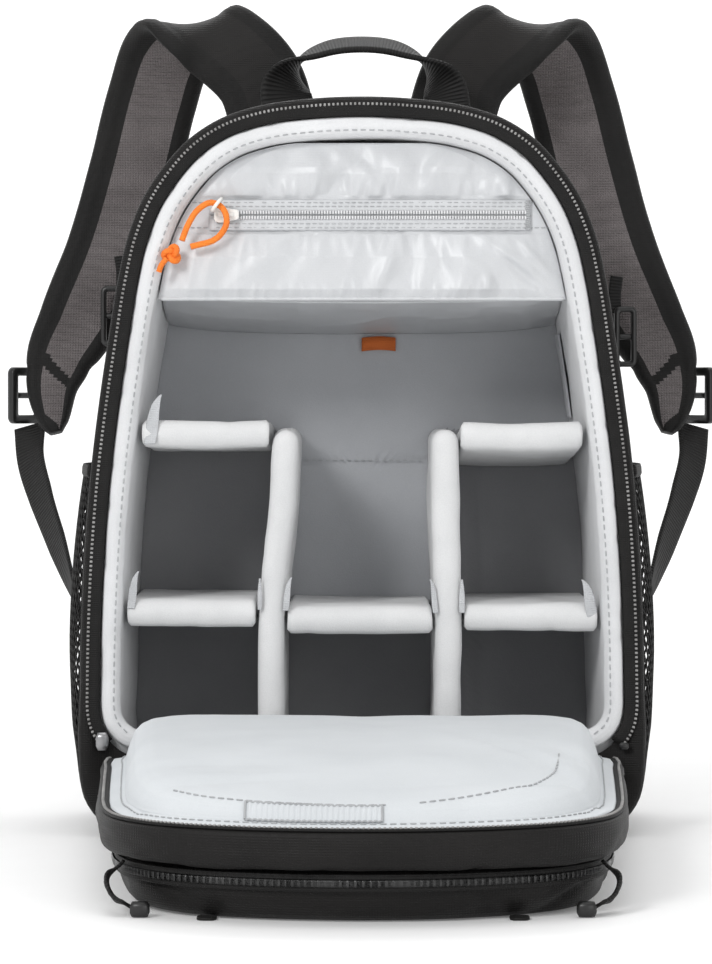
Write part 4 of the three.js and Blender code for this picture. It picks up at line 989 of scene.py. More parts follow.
front_y = POCKET_Y - puff - np.minimum(1.0, away / 0.0012) * folds
front_y = np.where(away > 0, np.minimum(front_y, POCKET_Y - 0.0001 + 0.0006 * edge), POCKET_Y)
front_grid = leaned(np.stack([grid_x, front_y, grid_z], 2))
back_grid = leaned(np.stack([grid_x, front_y + 0.0012, grid_z], 2))
pocket = sheet_solid("pocket_wall_cloth", front_grid, back_grid, SILVER)
piece(pocket, "silver_nylon", "pocket_wall")

v = np.linspace(0, 1, 40)
u = np.linspace(0, 1, 90)
under_outline = arch(LIP_INNER + 0.0012)
floor_grid = []
for share in v:
    y = POCKET_Y + 0.0016 + GAP + (DIVIDER_BACK - POCKET_Y - 0.0016 - GAP) * share
    z = POCKET_BOTTOM - 0.013 * share - 0.0015 * np.sin(math.pi * u) + 0.0035 * (2 * u - 1) ** 6
    x = (2 * u - 1) * (np.array([half_at(under_outline, h) for h in z]) - GAP)
    floor_grid.append(np.stack([x, np.full(len(u), y), z], 1))
floor_grid = np.array(floor_grid)
flat = floor_grid.reshape(-1, 3)
ripple = 0.0011 * rough_noise(flat, (42, 20, 1), 3, 51.0) - 0.0011 * creases(flat, (36, 15, 1), 53.0) ** 3
ripple = ripple.reshape(floor_grid.shape[:2]) * np.minimum(1, (v * (1 - v) * 9))[:, None]
floor_grid[..., 2] += ripple
upper = floor_grid + np.array([0, 0, 0.0014])
pocket_floor = sheet_solid("pocket_floor_cloth", leaned(floor_grid), leaned(upper), SILVER)
piece(pocket_floor, "silver_nylon", "pocket_floor")

# Piped seam where the pocket's front meets its floor
seam_height = np.full(columns - 4, POCKET_BOTTOM + 0.0004)
seam = leaned(np.stack([grid_x[0, 2:-2], front_y[0, 2:-2] + 0.0003, seam_height], 1))
piece(curve_object("pocket_seam", seam, 0.0011, SILVER), "silver_nylon")

ZIP_LEFT, ZIP_RIGHT = -0.074, 0.082
zip_y = POCKET_Y - GAP
stations = np.linspace(ZIP_LEFT, ZIP_RIGHT, 60)
for k, (z_low, z_high) in enumerate(((-0.0075, -0.0004), (0.0004, 0.0075))):
    loops = []
    for x in stations:
        inner = z_high if k == 0 else z_low
        outer = z_low if k == 0 else z_high
        wave_y = 0.0003 * math.sin(x * 900) + 0.00025 * math.sin(x * 2300 + 1)
        profile = [(outer, 0.0), (outer, -0.0005 + wave_y), (outer * 0.86, -0.0009 + wave_y),
                   (outer * 0.45, -0.0008), (inner, -0.0007), (inner, 0.0)]
        loops.append([(x, zip_y + dy, POCKET_ZIP + dz) for dz, dy in profile])
    name = "pocket_zip_tape_low" if k == 0 else "pocket_zip_tape_high"
    made = loft(name, leaned(np.array(loops)), SILVER)
    piece(made, "silver_nylon", *(["pocket_zip"] if k == 0 else []))
forward = np.array([0.0, -1.0, 0.0])
for k, dz in enumerate((-0.00125, 0.00125)):
    line = np.stack([np.linspace(ZIP_LEFT + 0.004, ZIP_RIGHT - 0.002, 60), np.full(60, zip_y - 0.0013),
                     np.full(60, POCKET_ZIP + dz)], 1)
    piece(row_of_bars(f"pocket_zip_coil_{'ab'[k]}", leaned(line), forward, 0.00135,
                      (0.00085, 0.0010, 0.0018), PALE_TEETH), "white_plastic")
for k, (dz, x0, x1) in enumerate(((-0.0061, -0.096, 0.095), (0.0061, -0.092, 0.091),
                                  (-0.0042, ZIP_LEFT + 0.003, ZIP_RIGHT - 0.002),
                                  (0.0042, ZIP_LEFT + 0.003, ZIP_RIGHT - 0.002))):
    xs = np.linspace(x0, x1, 120)
    on_tape = (xs > ZIP_LEFT + 0.0005) & (xs < ZIP_RIGHT - 0.0005)
    stitch_y = np.where(on_tape, zip_y - 0.0010, POCKET_Y - 0.0002)
    line = np.stack([xs, stitch_y, np.full(120, POCKET_ZIP + dz)], 1)
    piece(row_of_bars(f"pocket_zip_stitches_{'abcd'[k]}", leaned(line), forward, 0.0031,
                      ZIP_STITCH, STITCH), "silver_nylon")
tack = np.stack([np.full(20, ZIP_RIGHT - 0.0016), np.full(20, zip_y - 0.0011),
                 np.linspace(POCKET_ZIP - 0.0072, POCKET_ZIP + 0.0072, 20)], 1)
piece(row_of_bars("pocket_zip_tack", leaned(tack), forward, 0.0009,
                  (0.0007, 0.0008, 0.0024), STITCH), "silver_nylon")

# Slider with its bridge, and the eye of the puller
SLIDER_X = ZIP_LEFT + 0.008


def block(name, places, half_sizes, radius, mat):
    """Rounded solid through stations (n, 3) of y and z half sizes."""
    loops = []
    for place, (hy, hz) in zip(places, half_sizes):
        section = rounded_section(hy, hz, min(radius, hy * 0.9, hz * 0.9))
        across = np.full(len(section), place[0])
        loops.append(np.stack([across, place[1] + section[:, 0], place[2] + section[:, 1]], 1))
    return loft(name, leaned(np.array(loops)), mat)


slider_y = zip_y - 0.0021 - GAP - 0.0016
outline_x = np.array([-0.0055, -0.0048, -0.003, 0.0, 0.003, 0.0055, 0.0065])
outline_z = np.array([0.0022, 0.0034, 0.0040, 0.0035, 0.0028, 0.0025, 0.0016])
block("pocket_slider_base", [(SLIDER_X + x, slider_y + 0.0006, POCKET_ZIP) for x in outline_x],
      [(0.0011, z) for z in outline_z], 0.0006, WHITE_PLASTIC)
piece(bpy.data.objects["pocket_slider_base"], "white_plastic", "pocket_slider")
bridge = [(SLIDER_X - 0.0042, slider_y, POCKET_ZIP), (SLIDER_X - 0.0030, slider_y - 0.0019, POCKET_ZIP),
          (SLIDER_X + 0.0010, slider_y - 0.0022, POCKET_ZIP),
          (SLIDER_X + 0.0036, slider_y - 0.0012, POCKET_ZIP),
          (SLIDER_X + 0.0046, slider_y + 0.0004, POCKET_ZIP)]
block("pocket_slider_bridge", bridge, [(0.0006, 0.0011)] * 5, 0.0004, WHITE_PLASTIC)
piece(bpy.data.objects["pocket_slider_bridge"], "white_plastic")
axis = np.array([0.8, 0.0, -0.6])
side_way = np.array([0.6, 0.0, 0.8])
ring = [EYE + 0.0035 * (math.cos(t) * side_way + math.sin(t) * np.array([0, 1.0, 0]))
        for t in np.linspace(0, 2 * math.pi, 40, endpoint=False)]
piece(curve_object("pocket_puller_eye", leaned(np.array(ring)), 0.0009, WHITE_PLASTIC, True), "white_plastic",
      "pocket_puller")

# Orange tab and the ribbed strip on the right wall
low, high = corners_of("orange_tab")
loops = []
for x in np.linspace(low[0], high[0], 12):
    y = low[1] + 0.0009
    bend = 0.0008 * math.sin((x - low[0]) * 170)
    loops.append([(x, y - 0.0007, low[2] + bend), (x, y - 0.0007, high[2] + bend),
                  (x, y + 0.0007, high[2] + bend), (x, y + 0.0007, low[2] + bend)])
piece(loft("orange_tab_cloth", loops, ORANGE_TAPE), "orange_tab", "orange_tab")
zs = np.linspace(0.2005, 0.243, 40)
wall_x = np.array([half_at(arch(LIP_INNER + 0.0012), z) for z in zs[::13]])
wall_x = np.interp(zs, zs[::13], wall_x) - 2 * GAP
ys = np.linspace(0.022, 0.044, 26)
ribs = 0.0004 * np.sin(ys * 2 * math.pi / 0.0030)[None, :]
inner = np.stack([wall_x[:, None] - 0.0010 + ribs, np.repeat(ys[None, :], 40, 0),
                  np.repeat(zs[:, None], 26, 1)], 2)
outer = np.stack([np.repeat(wall_x[:, None], 26, 1), inner[..., 1], inner[..., 2]], 2)
piece(sheet_solid("wall_strip_cloth", leaned(inner), leaned(outer), GREY_BACK), "grey_lining", "wall_strip")


# Lid
def lid_rows(table, parts):
    """Rows of the lid from a table of heights and insets."""
    return [level(lid_outline(inset), z) for z, inset in smooth_rows(table, parts)]


TRAY = FRONT_POCKET + GAP
rows = lid_rows([(TRAY + 0.0001, 0.0090), (TRAY + 0.0006, 0.0058), (TRAY + 0.0022, 0.0024),
                 (TRAY + 0.0050, 0.0008), (TRAY + 0.0090, 0.0), (LID_HEIGHT - 0.0024, 0.0002),
                 (LID_HEIGHT - 0.0010, 0.0007),
                 (LID_HEIGHT - 0.0003, 0.0018)], 4)
rows += lid_rows([(LID_HEIGHT - 0.0003, LID_RIM), (LID_HEIGHT - 0.0026, LID_RIM),
                  (LID_HEIGHT - 0.0040, LID_RIM - 0.0016),
                  (TRAY + 0.0024, LID_RIM + 0.0012)], 1)
lid_shell = loft("lid_shell_cloth", rows, NYLON)


def lid_dents(co, no):
    side = np.clip((LID_HEIGHT - 0.002 - co[:, 2]) / 0.006, 0, 1)
    outward = (no[:, 0] * co[:, 0] + no[:, 1] * (co[:, 1] - HINGE + LID_LENGTH / 2)) > 0
    slack = 0.0009 * rough_noise(co, (26, 26, 60), 3, 61.0)
    return side * outward * (slack - 0.0008 * creases(co, (24, 24, 60), 63.0) ** 3)


displace(lid_shell, lid_dents)
piece(lid_shell, "black_nylon", "lid_shell")

lid_starts = np.concatenate([[0], np.cumsum(LID_STEPS)])
lid_zip_flat = lid_outline(0.0034)[lid_starts[3]:lid_starts[-4] + 1]
lid_zip_path = level(lid_zip_flat, LID_HEIGHT)
top = np.array([0.0, 0.0, 1.0])
strip_along("lid_zip_tape", lid_zip_path, 0.0040, 0.0011, top, BINDING, "black_webbing", "lid_zip")
lid_teeth = level(lid_outline(0.0027)[lid_starts[3]:lid_starts[-4] + 1], LID_HEIGHT + 0.0013)
# Teeth in pale grey: painted glints along the dark zip.
piece(row_of_bars("lid_zip_teeth", lid_teeth, top, TEETH_PITCH, TOOTH, TEETH),
      "grey_metal")


def dome_rows(table):
    """Rows of the padded panel from a table of insets and shares of its rise."""
    out = []
    for inset, share in table:
        flat = lid_outline(inset)
        rise = DOME * np.interp(flat[:, 1] / LID_LENGTH, [r[0] for r in DOME_RISE], [r[1] for r in DOME_RISE])
        out.append(level(flat, LID_HEIGHT + 0.0012 + rise * share))
    return out


rows = lid_rows([(LID_HEIGHT - 0.0030, LID_RIM + 0.0020), (LID_HEIGHT - 0.0016, LID_RIM + GAP),
                 (LID_HEIGHT + 0.0004, LID_RIM + GAP)], 2)
DOME_TABLE = [(LID_RIM + 0.0008, 0.0), (LID_FLANGE - 0.0050, 0.02), (LID_FLANGE - 0.0010, 0.08),
              (LID_FLANGE, 0.16),
              (LID_FLANGE + 0.0012, 0.32), (LID_FLANGE + 0.0030, 0.52), (LID_FLANGE + 0.0060, 0.74),
              (LID_FLANGE + 0.0100, 0.86), (LID_FLANGE + 0.0170, 0.94), (LID_FLANGE + 0.0300, 0.985),
              (0.062, 1.0), (0.085, 1.0), (0.105, 1.0), (0.118, 1.0)]
rows += dome_rows(smooth_rows(DOME_TABLE, 5))
lid_lining = loft("lid_lining_panel", rows, LID_CLOTH)


# Slack folds of the lid's lining: long ones near its right edge, short ones at its near left
LID_FOLDS = [(0.068, -0.262, -0.37, 0.060, 0.0040, -0.0011), (0.079, -0.268, -0.34, 0.058, 0.0040, 0.0009),
             (0.089, -0.255, -0.30, 0.050, 0.0030, -0.0009), (0.050, -0.235, -0.45, 0.050, 0.0060, 0.0008),
             (-0.070, -0.322, 1.45, 0.034, 0.0040, -0.0009), (-0.055, -0.309, 1.52, 0.040, 0.0050, 0.0009),
             (-0.060, -0.285, 1.62, 0.036, 0.0060, -0.0007), (0.020, -0.330, 1.35, 0.030, 0.0050, -0.0007),
             (0.070, -0.330, 1.10, 0.028, 0.0035, 0.0009), (0.082, -0.318, 1.00, 0.022, 0.0030, -0.0009),
             (-0.020, -0.200, 0.2, 0.050, 0.0120, 0.0010), (0.010, -0.150, -0.3, 0.040, 0.0100, -0.0008)]


def lid_swell(co, no):
    up = np.clip(no[:, 2], 0, 1)
    slack = fold_lines(co[:, 0], co[:, 1], LID_FOLDS)
    return up * (0.0006 * rough_noise(co, (20, 20, 8), 2, 71.0) + slack)


displace(lid_lining, lid_swell)
piece(lid_lining, "light_lining", "lid_lining", fill=0.8)


def dome_point(inset, share):
    return dome_rows([(inset, share)])[0]


sewn = dome_point(LID_FLANGE - 0.0022, 0.09)[lid_starts[3]:lid_starts[-4] + 1]
sewn_up = np.array([0.0, 0.0, 1.0])
sewn = on_surface(lid_lining, sewn, (0, 0, -1))
piece(row_of_bars("lid_stitches", sewn, sewn_up, 0.0040, (0.0026, 0.0006, 0.0006), STITCH),
      "light_lining")


def near_edge(xs, inset):
    """Points of the dome at places across the lid, at an inset from its near outline."""
    table = np.array(DOME_TABLE)
    inset = np.broadcast_to(inset, np.shape(xs))
    out = []
    for x, back in zip(xs, inset):
        loop = dome_point(back, float(np.interp(back, table[:, 0], table[:, 1])))
        loop = loop[loop[:, 1] < HINGE - LID_LENGTH / 2]
        loop = loop[np.argsort(loop[:, 0])]
        out.append((x, np.interp(x, loop[:, 0], loop[:, 1]), np.interp(x, loop[:, 0], loop[:, 2])))
    return np.array(out)


xs = np.linspace(-0.078, 0.008, 44)
line = on_surface(lid_lining, near_edge(xs, 0.0212), (0, 0, -1))
piece(row_of_bars("lid_stitches_a", line, sewn_up, SEAM_PITCH, LID_STITCH, STITCH), "light_lining")
xs = np.linspace(0.022, 0.084, 34)
line = on_surface(lid_lining, near_edge(xs, 0.0220 + 0.16 * (xs - 0.022)), (0, 0, -1))
piece(row_of_bars("lid_stitches_b", line, sewn_up, SEAM_PITCH, LID_STITCH, STITCH), "light_lining")

# Ribbed patch near the far end of the lid, along its near outline
patch_x = np.linspace(-0.0475, 0.0075, 120)
patch = np.array([on_surface(lid_lining, near_edge(patch_x, inset), (0, 0, -1), 0.0002)
                  for inset in np.linspace(0.0128, 0.0200, 14)])
rib = 0.00045 + 0.00035 * np.sin(patch_x * 2 * math.pi / PATCH_RIB)
raised = patch + np.array([0, -0.55, 0.83]) * rib[None, :, None]
piece(sheet_solid("lid_ribbed_patch", raised, patch, LID_CLOTH), "light_lining")
edge_line = np.vstack([raised[0], raised[1:, -1], raised[-1, ::-1][1:], raised[::-1, 0][1:]])
piece(curve_object("lid_patch_edge", edge_line, 0.0005, STITCH), "light_lining")


# Front pocket under the lid
INSET = 0.011
rows = lid_rows([(0.0, INSET + 0.0170), (0.0003, INSET + 0.0100), (0.0018, INSET + 0.0046),
                 (0.0060, INSET + 0.0006),
                 (0.0120, INSET - 0.0016), (0.0170, INSET - 0.0018), (FRONT_POCKET - 0.0012, INSET - 0.0006),
                 (FRONT_POCKET, INSET + 0.0012)], 6)
front_pocket = loft("front_pocket_cloth", rows, NYLON)


def pocket_dents(co, no):
    free = np.clip(co[:, 2] / 0.004, 0, 1) * np.clip((FRONT_POCKET - co[:, 2]) / 0.003, 0, 1)
    slack = 0.0016 * rough_noise(co, (20, 20, 50), 3, 81.0)
    return free * (slack - 0.0022 * creases(co, (15, 15, 60), 83.0) ** 3)


displace(front_pocket, pocket_dents)
piece(front_pocket, "black_nylon", "front_pocket")
middle = len(LID_STEPS) // 2
zip_part = lid_outline(INSET - 0.0024)[lid_starts[middle - 8]:lid_starts[middle + 8] + 1]
path = level(zip_part, FRONT_POCKET - 0.0042)
outward = np.gradient(path, axis=0)
outward = np.cross(outward, [0, 0, 1.0])
outward /= np.linalg.norm(outward, axis=1)[:, None]
if outward[len(outward) // 2][1] > 0:
    outward = -outward
strip_along("front_pocket_zip_tape", path, 0.0072, 0.0012, outward, BINDING, "black_webbing",
            "front_pocket_zip")
piece(row_of_bars("front_pocket_zip_teeth", path + outward * 0.0016, outward, 0.0019,
                  (0.0012, 0.0011, 0.0030), DARK_TEETH), "black_plastic")


# Straps, webbing and handle
STRAP_SHAPE = [(0.3256, 0.0000, 0.9657, 0.9583, 0.84, -0.54),
               (0.3605, 0.0803, 1.0171, 0.9583, 0.84, -0.54),
               (0.4186, 0.1300, 1.0800, 0.9583, 0.86, -0.5),
               (0.5271, 0.1700, 1.1229, 0.9688, 0.9, -0.4),
               (0.6357, 0.2600, 1.1486, 0.9792, 0.96, -0.22),
               (0.7287, 0.4500, 1.1529, 1.0000, 0.99, -0.05),
               (0.8062, 0.7000, 1.1229, 1.0000, 0.98, 0.12),
               (0.8682, 0.9000, 1.0600, 1.0104, 0.97, 0.2),
               (0.9419, 1.0000, 0.9543, 1.0104, 0.97, 0.25),
               (1.0465, 0.9408, 0.8229, 0.9792, 0.96, 0.28),
               (1.1705, 0.8277, 0.7171, 0.8958, 0.95, 0.3),
               (1.2442, 0.7450, 0.6600, 0.7500, 0.98, 0.15),
               (1.2713, 0.7000, 0.6171, 0.5729, 0.99, 0),
               (1.2674, 0.6600, 0.5829, 0.4271, 1, -0.05),
               (1.2597, 0.6350, 0.5614, 0.2917, 1, -0.05),
               (1.2519, 0.6200, 0.5500, 0.1458, 1, -0.05)]
STRAP_THICK = 0.009
STRAP_WIDTH = 0.048
STRAP_FALL = 0.062


def strap_route(side_sign):
    """Middle line, width and side direction of a shoulder strap."""
    out = []
    for x, behind, up, wide, sx, sz in STRAP_SHAPE:
        z = up * RIM_HEIGHT
        y = BACK + z * LEAN + 0.004 + behind * STRAP_FALL
        out.append((side_sign * x * RIM_HALF, y, z, wide * STRAP_WIDTH, side_sign * sx, 0.0, sz))
    return np.array(out)


def band(name, route, section_of, parts, mats, slot_of=None):
    """Lofts a section along a route of rows (x, y, z, width, sx, sy, sz)."""
    dense = hermite(route, [parts] * len(route), False)
    place, width, wish = dense[:, :3], dense[:, 3], dense[:, 4:7]
    _, side, face = frames(place, wish)
    loops = []
    for k in range(len(place)):
        section = section_of(width[k] / 2, k / (len(place) - 1))
        loops.append(place[k] + side[k] * section[:, :1] + face[k] * section[:, 1:])
    return loft(name, loops, mats, slot_of=slot_of), place, side, face, width


def strap_section(half, t):
    """Pad section: binding at both edges, outer face domed, inner face flatter."""
    h = STRAP_THICK / 2 * (1.0 - 0.25 * max(0.0, (t - 0.93) / 0.07))
    e = min(0.0088, half * 0.42)
    rim = [(0.75, 0.98), (0.35, 0.8), (0.1, 0.45)]
    points = [(a * (half - e), -h * (1 - 0.12 * abs(a) ** 3)) for a in np.linspace(-1, 1, 15)]
    points += [(half - e * back, -h * up) for back, up in rim] + [(half, 0)]
    points += [(half - e * back, h * up) for back, up in rim[::-1]]
    points += [(a * (half - e), h * (0.97 - 0.12 * abs(a) ** 3)) for a in np.linspace(1, -1, 15)]
    points += [(-half + e * back, h * up) for back, up in rim] + [(-half, 0)]
    points += [(-half + e * back, -h * up) for back, up in rim[::-1]]
    return np.array(points)


def web_section(thick):
    """Section of flat webbing."""
    def section(half, t):
        h = thick / 2
        xs = np.linspace(-1, 1, 9) * (half - h * 0.6)
        return np.array([(x, -h) for x in xs] + [(half, 0.0)] + [(x, h) for x in xs[::-1]] + [(-half, 0.0)])
    return section


for side_name, sgn in SIDES:
    mesh_first = sgn < 0
    strap_z = hermite(strap_route(sgn), [STRAP_STEPS] * len(STRAP_SHAPE), False)[:, 2]
    falling = np.arange(len(strap_z)) > 60

    def seam_off(i, j):
        """How far a face of the pad lies above its cross seam."""
        across = (j if j < 18 else 36 - j) / 7.0 - 1.0
        return strap_z[i] - (STRAP_SEAM + 0.0055 * across)

    def strap_slot(i, j, flip=mesh_first):
        off = seam_off(i, j)
        if 12 <= j < 24 or j >= 36 or (falling[i] and (abs(off) < 0.0032 or off < -0.027)):
            return 1
        outer = j < 14
        return 2 if outer == flip else 0
    strap, *_ = band(f"strap_{side_name}_pad", strap_route(sgn), strap_section, STRAP_STEPS,
                     [STRAP_FACE, BINDING, MESH_FACE], strap_slot)

    def strap_soft(co, no):
        seam = np.exp(-((co[:, 2] - STRAP_SEAM) / 0.0030) ** 2) * (co[:, 1] > BACK + 0.035)
        return 0.0005 * rough_noise(co, (30, 30, 22), 2, 91.0) - 0.0008 * seam
    displace(strap, strap_soft)
    piece(strap, "black_nylon", f"strap_{side_name}", fill=0.7)

BUCKLE = np.array([0.1785, 0.140, 0.212])
WEB_SHAPE = [(0, 0, 0, 0.85, 0.5, 0.1),
             (0.0282, 0.1237, 0.1481, 0.7, 0.7, 0.1),
             (0.1977, 0.317, 0.3333, 0.55, 0.75, 0.3),
             (0.452, 0.5361, 0.5556, 0.45, 0.75, 0.4),
             (0.7345, 0.768, 0.7963, 0.3, 0.8, 0.5),
             (1, 1, 1, 0.1, 0.8, 0.5)]
web_top = BUCKLE + np.array([-0.002, 0.0005, -0.0163])
web_end = np.array([0.1376, BACK - 0.004, 0.086])
for side_name, sgn in SIDES:
    route = []
    for a, b, c, sx, sy, sz in WEB_SHAPE:
        p = web_top + (web_end - web_top) * np.array([a, b, c])
        route.append((sgn * p[0], p[1], p[2], WEB_WIDE, sgn * sx, sy, sz))
    webbing, *_ = band(f"webbing_{side_name}_band", np.array(route), web_section(WEB_THICK), 12, WEBBING)
    piece(webbing, "black_webbing", f"webbing_{side_name}")

HANDLE = [(-0.2791, 0.012, 0.0, 27, 0.95, 0.1, 0.2), (-0.3023, 0.011, 0.43, 27, 0.85, 0.35, 0.4),
          (-0.2636, 0.010, 0.73, 25, 0.4, 0.85, 0.3), (-0.1473, 0.010, 0.93, 24, 0.05, 1, 0.36),
          (0.0, 0.010, 0.9925, 24, 0, 1, 0.36), (0.1473, 0.010, 0.93, 24, -0.05, 1, 0.36),
          (0.2558, 0.010, 0.755, 24, -0.4, 0.85, 0.3), (0.3256, 0.011, 0.455, 24, -0.85, 0.35, 0.4),
          (0.3488, 0.012, 0.0, 24, -0.95, 0.1, 0.2)]
HANDLE_HIGH = 0.040
handle_foot = RIM_HEIGHT + ZIP_OUTER + GAP
route = np.array([(out * RIM_HALF, BACK - back, handle_foot + up * HANDLE_HIGH, wide / 1000, sx, sy, sz)
                  for out, back, up, wide, sx, sy, sz in HANDLE])
handle, *_ = band("handle_webbing", np.hstack([leaned(route[:, :3]), route[:, 3:]]), web_section(0.003), 14,
                  WEBBING)
piece(handle, "black_webbing", "handle")


# Buckles, sliders and loops
def rim_frame(name, centre, wide, high, bar, thick, mat, crossbar=True, turn=0.0):
    """Slotted frame with rounded bars, in x and z, then turned about its upright middle."""
    loops = []
    rows = [(0.0, -0.30), (0.12, -0.5), (0.88, -0.5), (1.0, -0.3), (1.0, 0.3), (0.88, 0.5), (0.12, 0.5),
            (0.0, 0.3)]
    for share, depth in rows:
        flat = rounded_section(wide / 2 - bar * share, high / 2 - bar * share, 0.0032 - 0.0022 * share, 6)
        loops.append(np.stack([flat[:, 0], np.full(len(flat), depth * thick), flat[:, 1]], 1))

    def turned(points):
        points = np.asarray(points, float)
        x = points[..., 0] * math.cos(turn) - points[..., 1] * math.sin(turn)
        y = points[..., 0] * math.sin(turn) + points[..., 1] * math.cos(turn)
        return np.stack([x, y, points[..., 2]], -1) + centre
    made = loft(name, turned(loops), mat, ring=True)
    if crossbar:
        bar_x = np.linspace(-wide / 2 + bar * 0.5, wide / 2 - bar * 0.5, 5)
        loops = [np.stack([np.full(8, x), 0.0016 * np.cos(np.arange(8) * math.pi / 4),
                           0.0016 * np.sin(np.arange(8) * math.pi / 4)], 1) for x in bar_x]
        piece(loft(name + "_bar", turned(loops), mat), "black_plastic")
    return made


for side_name, sgn in SIDES:
    low, high = corners_of(f"strap_buckle_{side_name}")
    centre = (low + high) / 2
    piece(rim_frame(f"strap_buckle_{side_name}_frame", centre, 0.024, 0.030, 0.0046, 0.0044, PLASTIC, True,
                    -sgn * BUCKLE_TURN),
          "black_plastic", f"strap_buckle_{side_name}")
    low, high = corners_of(f"sternum_buckle_{side_name}")
    centre = (low + high) / 2
    piece(rim_frame(f"sternum_buckle_{side_name}_frame", centre, 0.012, 0.032, 0.0030, 0.0050, PLASTIC),
          "black_plastic", f"sternum_buckle_{side_name}")
    low, high = corners_of(f"sternum_loop_{side_name}")
    mid = (low + high) / 2
    route = [(mid[0], mid[1], low[2] - 0.004, 0.007, 1, 0, 0),
             (mid[0], mid[1] + 0.0004, mid[2], 0.007, 1, 0, 0),
             (mid[0] + sgn * 0.001, mid[1], high[2], 0.007, 1, 0, 0)]
    loop, *_ = band(f"sternum_loop_{side_name}_web", np.array(route), web_section(WEB_THICK), 8, WEBBING)
    piece(loop, "black_webbing", f"sternum_loop_{side_name}")
    route = [(sgn * 0.1000, -0.3254, 0.0187, LOOP_WIDE, 0, 1, 0),
             (sgn * 0.1042, -0.3307, 0.0140, LOOP_WIDE, 0, 1, 0),
             (sgn * 0.1018, -0.3388, 0.0080, LOOP_WIDE, sgn * 0.2, 1, 0),
             (sgn * 0.0950, -0.3450, 0.0044, LOOP_WIDE, sgn * 0.3, 1, 0)]
    loop, *_ = band(f"lid_loop_{side_name}_web", np.array(route), web_section(LOOP_THICK), 8, WEBBING)
    piece(loop, "black_webbing", f"lid_loop_{side_name}")
    low, high = corners_of(f"lid_buckle_{side_name}")
    centre = (low + high) / 2
    piece(scatter(f"lid_buckle_{side_name}_bar", [centre], PLAIN_AXES, high - low, PLASTIC, 0.8),
          "black_plastic", f"lid_buckle_{side_name}")
    low, high = corners_of(f"lid_tab_{side_name}")
    centre = (low + high) / 2
    piece(scatter(f"lid_tab_{side_name}_web", [centre], PLAIN_AXES, high - low, BINDING, 0.9),
          "black_webbing", f"lid_tab_{side_name}")

low, high = corners_of("hinge_strip")
stations = np.linspace(low[0], high[0], 60)
loops = []
for x in stations:
    ys = np.linspace(low[1], high[1], 12)
    rise = 0.0006 + 0.0007 * np.sin(np.linspace(0, math.pi, 12)) + 0.0002 * math.sin(x * 300)
    upper = np.stack([np.full(12, x), ys, low[2] + rise], 1)
    lower = np.stack([np.full(12, x), ys, np.full(12, low[2])], 1)
    loops.append(np.vstack([upper[::-1], lower]))
piece(loft("hinge_cloth", loops, BINDING), "black_webbing", "hinge_strip")

# Side pockets of open mesh, and the back pads
shell_flat = shell(0.0)


def net_place(side_sign, along, z, away):
    """Place on a side pocket, from its share along the depth and its height."""
    y = FRONT + 0.016 + (BACK - 0.025 - FRONT - 0.016) * along
    share = np.clip((z - 0.022) / 0.150, 0, 1)
    full = np.where(share < 0.5, np.sin(np.pi * share) ** 0.7, 1 - 0.28 * (2 * share - 1) ** 2)
    bulge = 0.0087 * full * np.sin(np.pi * np.clip(along, 0, 1) ** 1.25) ** 0.6
    body_x = np.interp(z, SHELL_Z, SHELL_X)
    return np.stack([side_sign * (body_x + GAP + bulge + away), y, z], -1)


NET_HEM = ((0, 0.0005), (0.0012, 0.0003), (0.0017, 0.0015), (0.0015, 0.0045), (0.0010, 0.0060),
           (-0.0002, 0.0058))
SHELL_Z = np.linspace(0.015, 0.19, 60)
SHELL_X = np.array([half_at(shell_flat, z) for z in SHELL_Z])
for side_name, sgn in SIDES:
    long_count, tall_count = 23, 38
    corners = {}
    verts = []
    faces = []

    def corner(a, z):
        key = (round(a, 6), round(z, 6))
        if key not in corners:
            corners[key] = len(verts)
            verts.append(net_place(sgn, np.array(min(1.0, max(0.0, a))), np.array(z), 0.0006))
        return corners[key]
    step_a, step_z = 1.0 / long_count, 0.150 / tall_count
    for i in range(long_count):
        for j in range(tall_count):
            a, z = i * step_a, 0.022 + j * step_z
            if (i + j) % 2 == 0:
                top_z = z + (2 * step_z if j < tall_count - 1 else step_z)
                faces.append([corner(a, z), corner(a + step_a, z + step_z), corner(a, top_z),
                              corner(max(0.0, a - step_a), z + step_z)])
    whole = [f for f in faces if len(set(f)) == 4]
    net = make(f"side_pocket_{side_name}_net", leaned(np.array(verts)), whole, BINDING)
    wire = net.modifiers.new("threads", "WIREFRAME")
    wire.thickness = 0.0009
    wire.use_replace = True
    wire.use_boundary = True
    piece(net, "black_webbing", f"side_pocket_{side_name}")
    a = np.linspace(0, 1, 40)
    loops = []
    for t in a:
        edge = net_place(sgn, np.array(t), np.array(0.172), 0.0)
        loops.append([edge + np.array([sgn * dx, 0, dz]) for dx, dz in NET_HEM])
    piece(loft(f"side_binding_{side_name}_band", leaned(np.array(loops)), BINDING), "black_webbing",
          f"side_binding_{side_name}")
    low, high = corners_of(f"back_pad_{side_name}")
    x0, x1 = low[0], high[0]
    z0, z1 = low[2], high[2]
    shares = [1.0, 0.995, 0.97, 0.92, 0.84, 0.72, 0.58, 0.42, 0.25, 0.08]
    lifts = [0.0, 0.0035, 0.0068, 0.0088, 0.0098, 0.0104, 0.0107, 0.0109, 0.0110, 0.0110]
    loops = []
    for share, lift in zip([1.0] + shares, [0.0003] + lifts):
        inset_by = (1 - share) * (x1 - x0) / 2
        flat = rounded_section((x1 - x0) / 2 - inset_by, (z1 - z0) / 2 - inset_by, 0.012 * max(0.3, share), 6)
        loops.append(np.stack([(x0 + x1) / 2 + flat[:, 0], np.full(len(flat), BACK + 0.0003 + lift * 0.97),
                               (z0 + z1) / 2 + flat[:, 1]], 1))
    pad = place_leaned(loft(f"back_pad_{side_name}_cloth", loops[1:], MESH_FACE))
    piece(pad, "black_nylon", f"back_pad_{side_name}", fill=0.7)

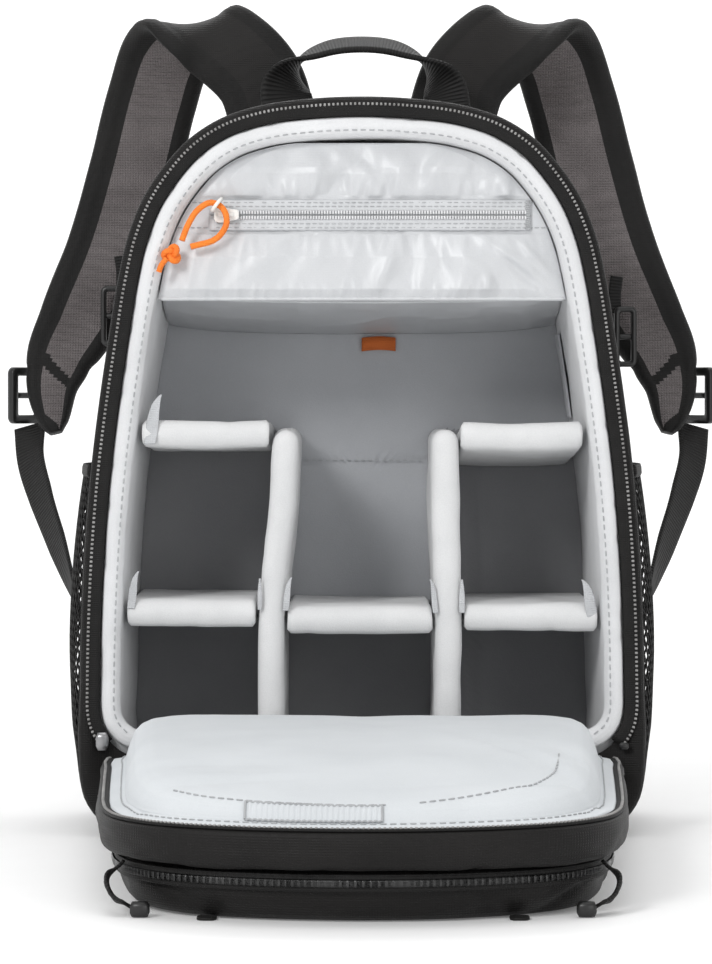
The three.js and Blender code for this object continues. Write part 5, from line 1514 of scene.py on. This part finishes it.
# Floor, lights and the end
floor_mat, tree, shader = new_material("pale_floor")
fine = noise(tree, coords(tree, "Object"), 40.0, 3.0)
link(tree, ramp(tree, fine, (0.84, 0.84, 0.84), (0.87, 0.87, 0.87)), shader.inputs["Base Color"])
shader.inputs["Roughness"].default_value = 0.8
# The floor glows, weakly near the bag and more away from it: painted light on the backdrop, which keeps the
# shade round the bag.
place = node(tree, "ShaderNodeTexCoord").outputs["Object"]
far = node(tree, "ShaderNodeVectorMath", operation="LENGTH")
link(tree, place, far.inputs[0])
distance = times(tree, far.outputs["Value"], 0.25)
glow = ramp(tree, distance, (0.10, 0.10, 0.10), (0.46, 0.46, 0.46), 0.10, 0.75)
link(tree, glow, shader.inputs["Emission Color"])
shader.inputs["Emission Strength"].default_value = 1.0
bend = [(1.6 + 1.5 * math.sin(t), 1.5 - 1.5 * math.cos(t)) for t in np.linspace(0, math.pi / 2, 24)]
profile = [(-5.0, 0.0), (0.6, 0.0)] + bend + [(3.1, 6.0)]
verts = [(x, y, z) for y, z in profile for x in (-60.0, 60.0)]
faces = [[2 * k, 2 * k + 1, 2 * k + 3, 2 * k + 2] for k in range(len(profile) - 1)]
floor = make("floor", verts, faces, floor_mat)


def soft_light(name, place, aim, size, power, color=(1, 1, 1)):
    """Large soft light aimed at a point."""
    data = bpy.data.lights.new(name, "AREA")
    data.shape = "RECTANGLE"
    data.size, data.size_y = size
    data.energy = power
    data.color = color
    made = bpy.data.objects.new(name, data)
    made.location = place
    made.rotation_euler = (Vector(aim) - Vector(place)).to_track_quat("-Z", "Y").to_euler()
    scene.collection.objects.link(made)


soft_light("key", (-1.3, -2.3, 1.5), (0, 0, 0.2), (0.8, 0.8), 34)
soft_light("fill", (1.3, -2.5, 0.7), (0, 0, 0.2), (1.2, 1.2), 10)
soft_light("top", (0.1, -0.3, 1.9), (0, -0.1, 0.1), (1.2, 1.2), 7)
soft_light("back", (0.0, 1.4, 1.7), (0, 0, 0.2), (1.6, 0.8), 8)
world = bpy.data.worlds.new("studio")
scene.world = world
world.use_nodes = True
world.node_tree.nodes["Background"].inputs["Color"].default_value = (1, 1, 1, 1)
world.node_tree.nodes["Background"].inputs["Strength"].default_value = 0.60
scene.view_settings.view_transform = "Standard"
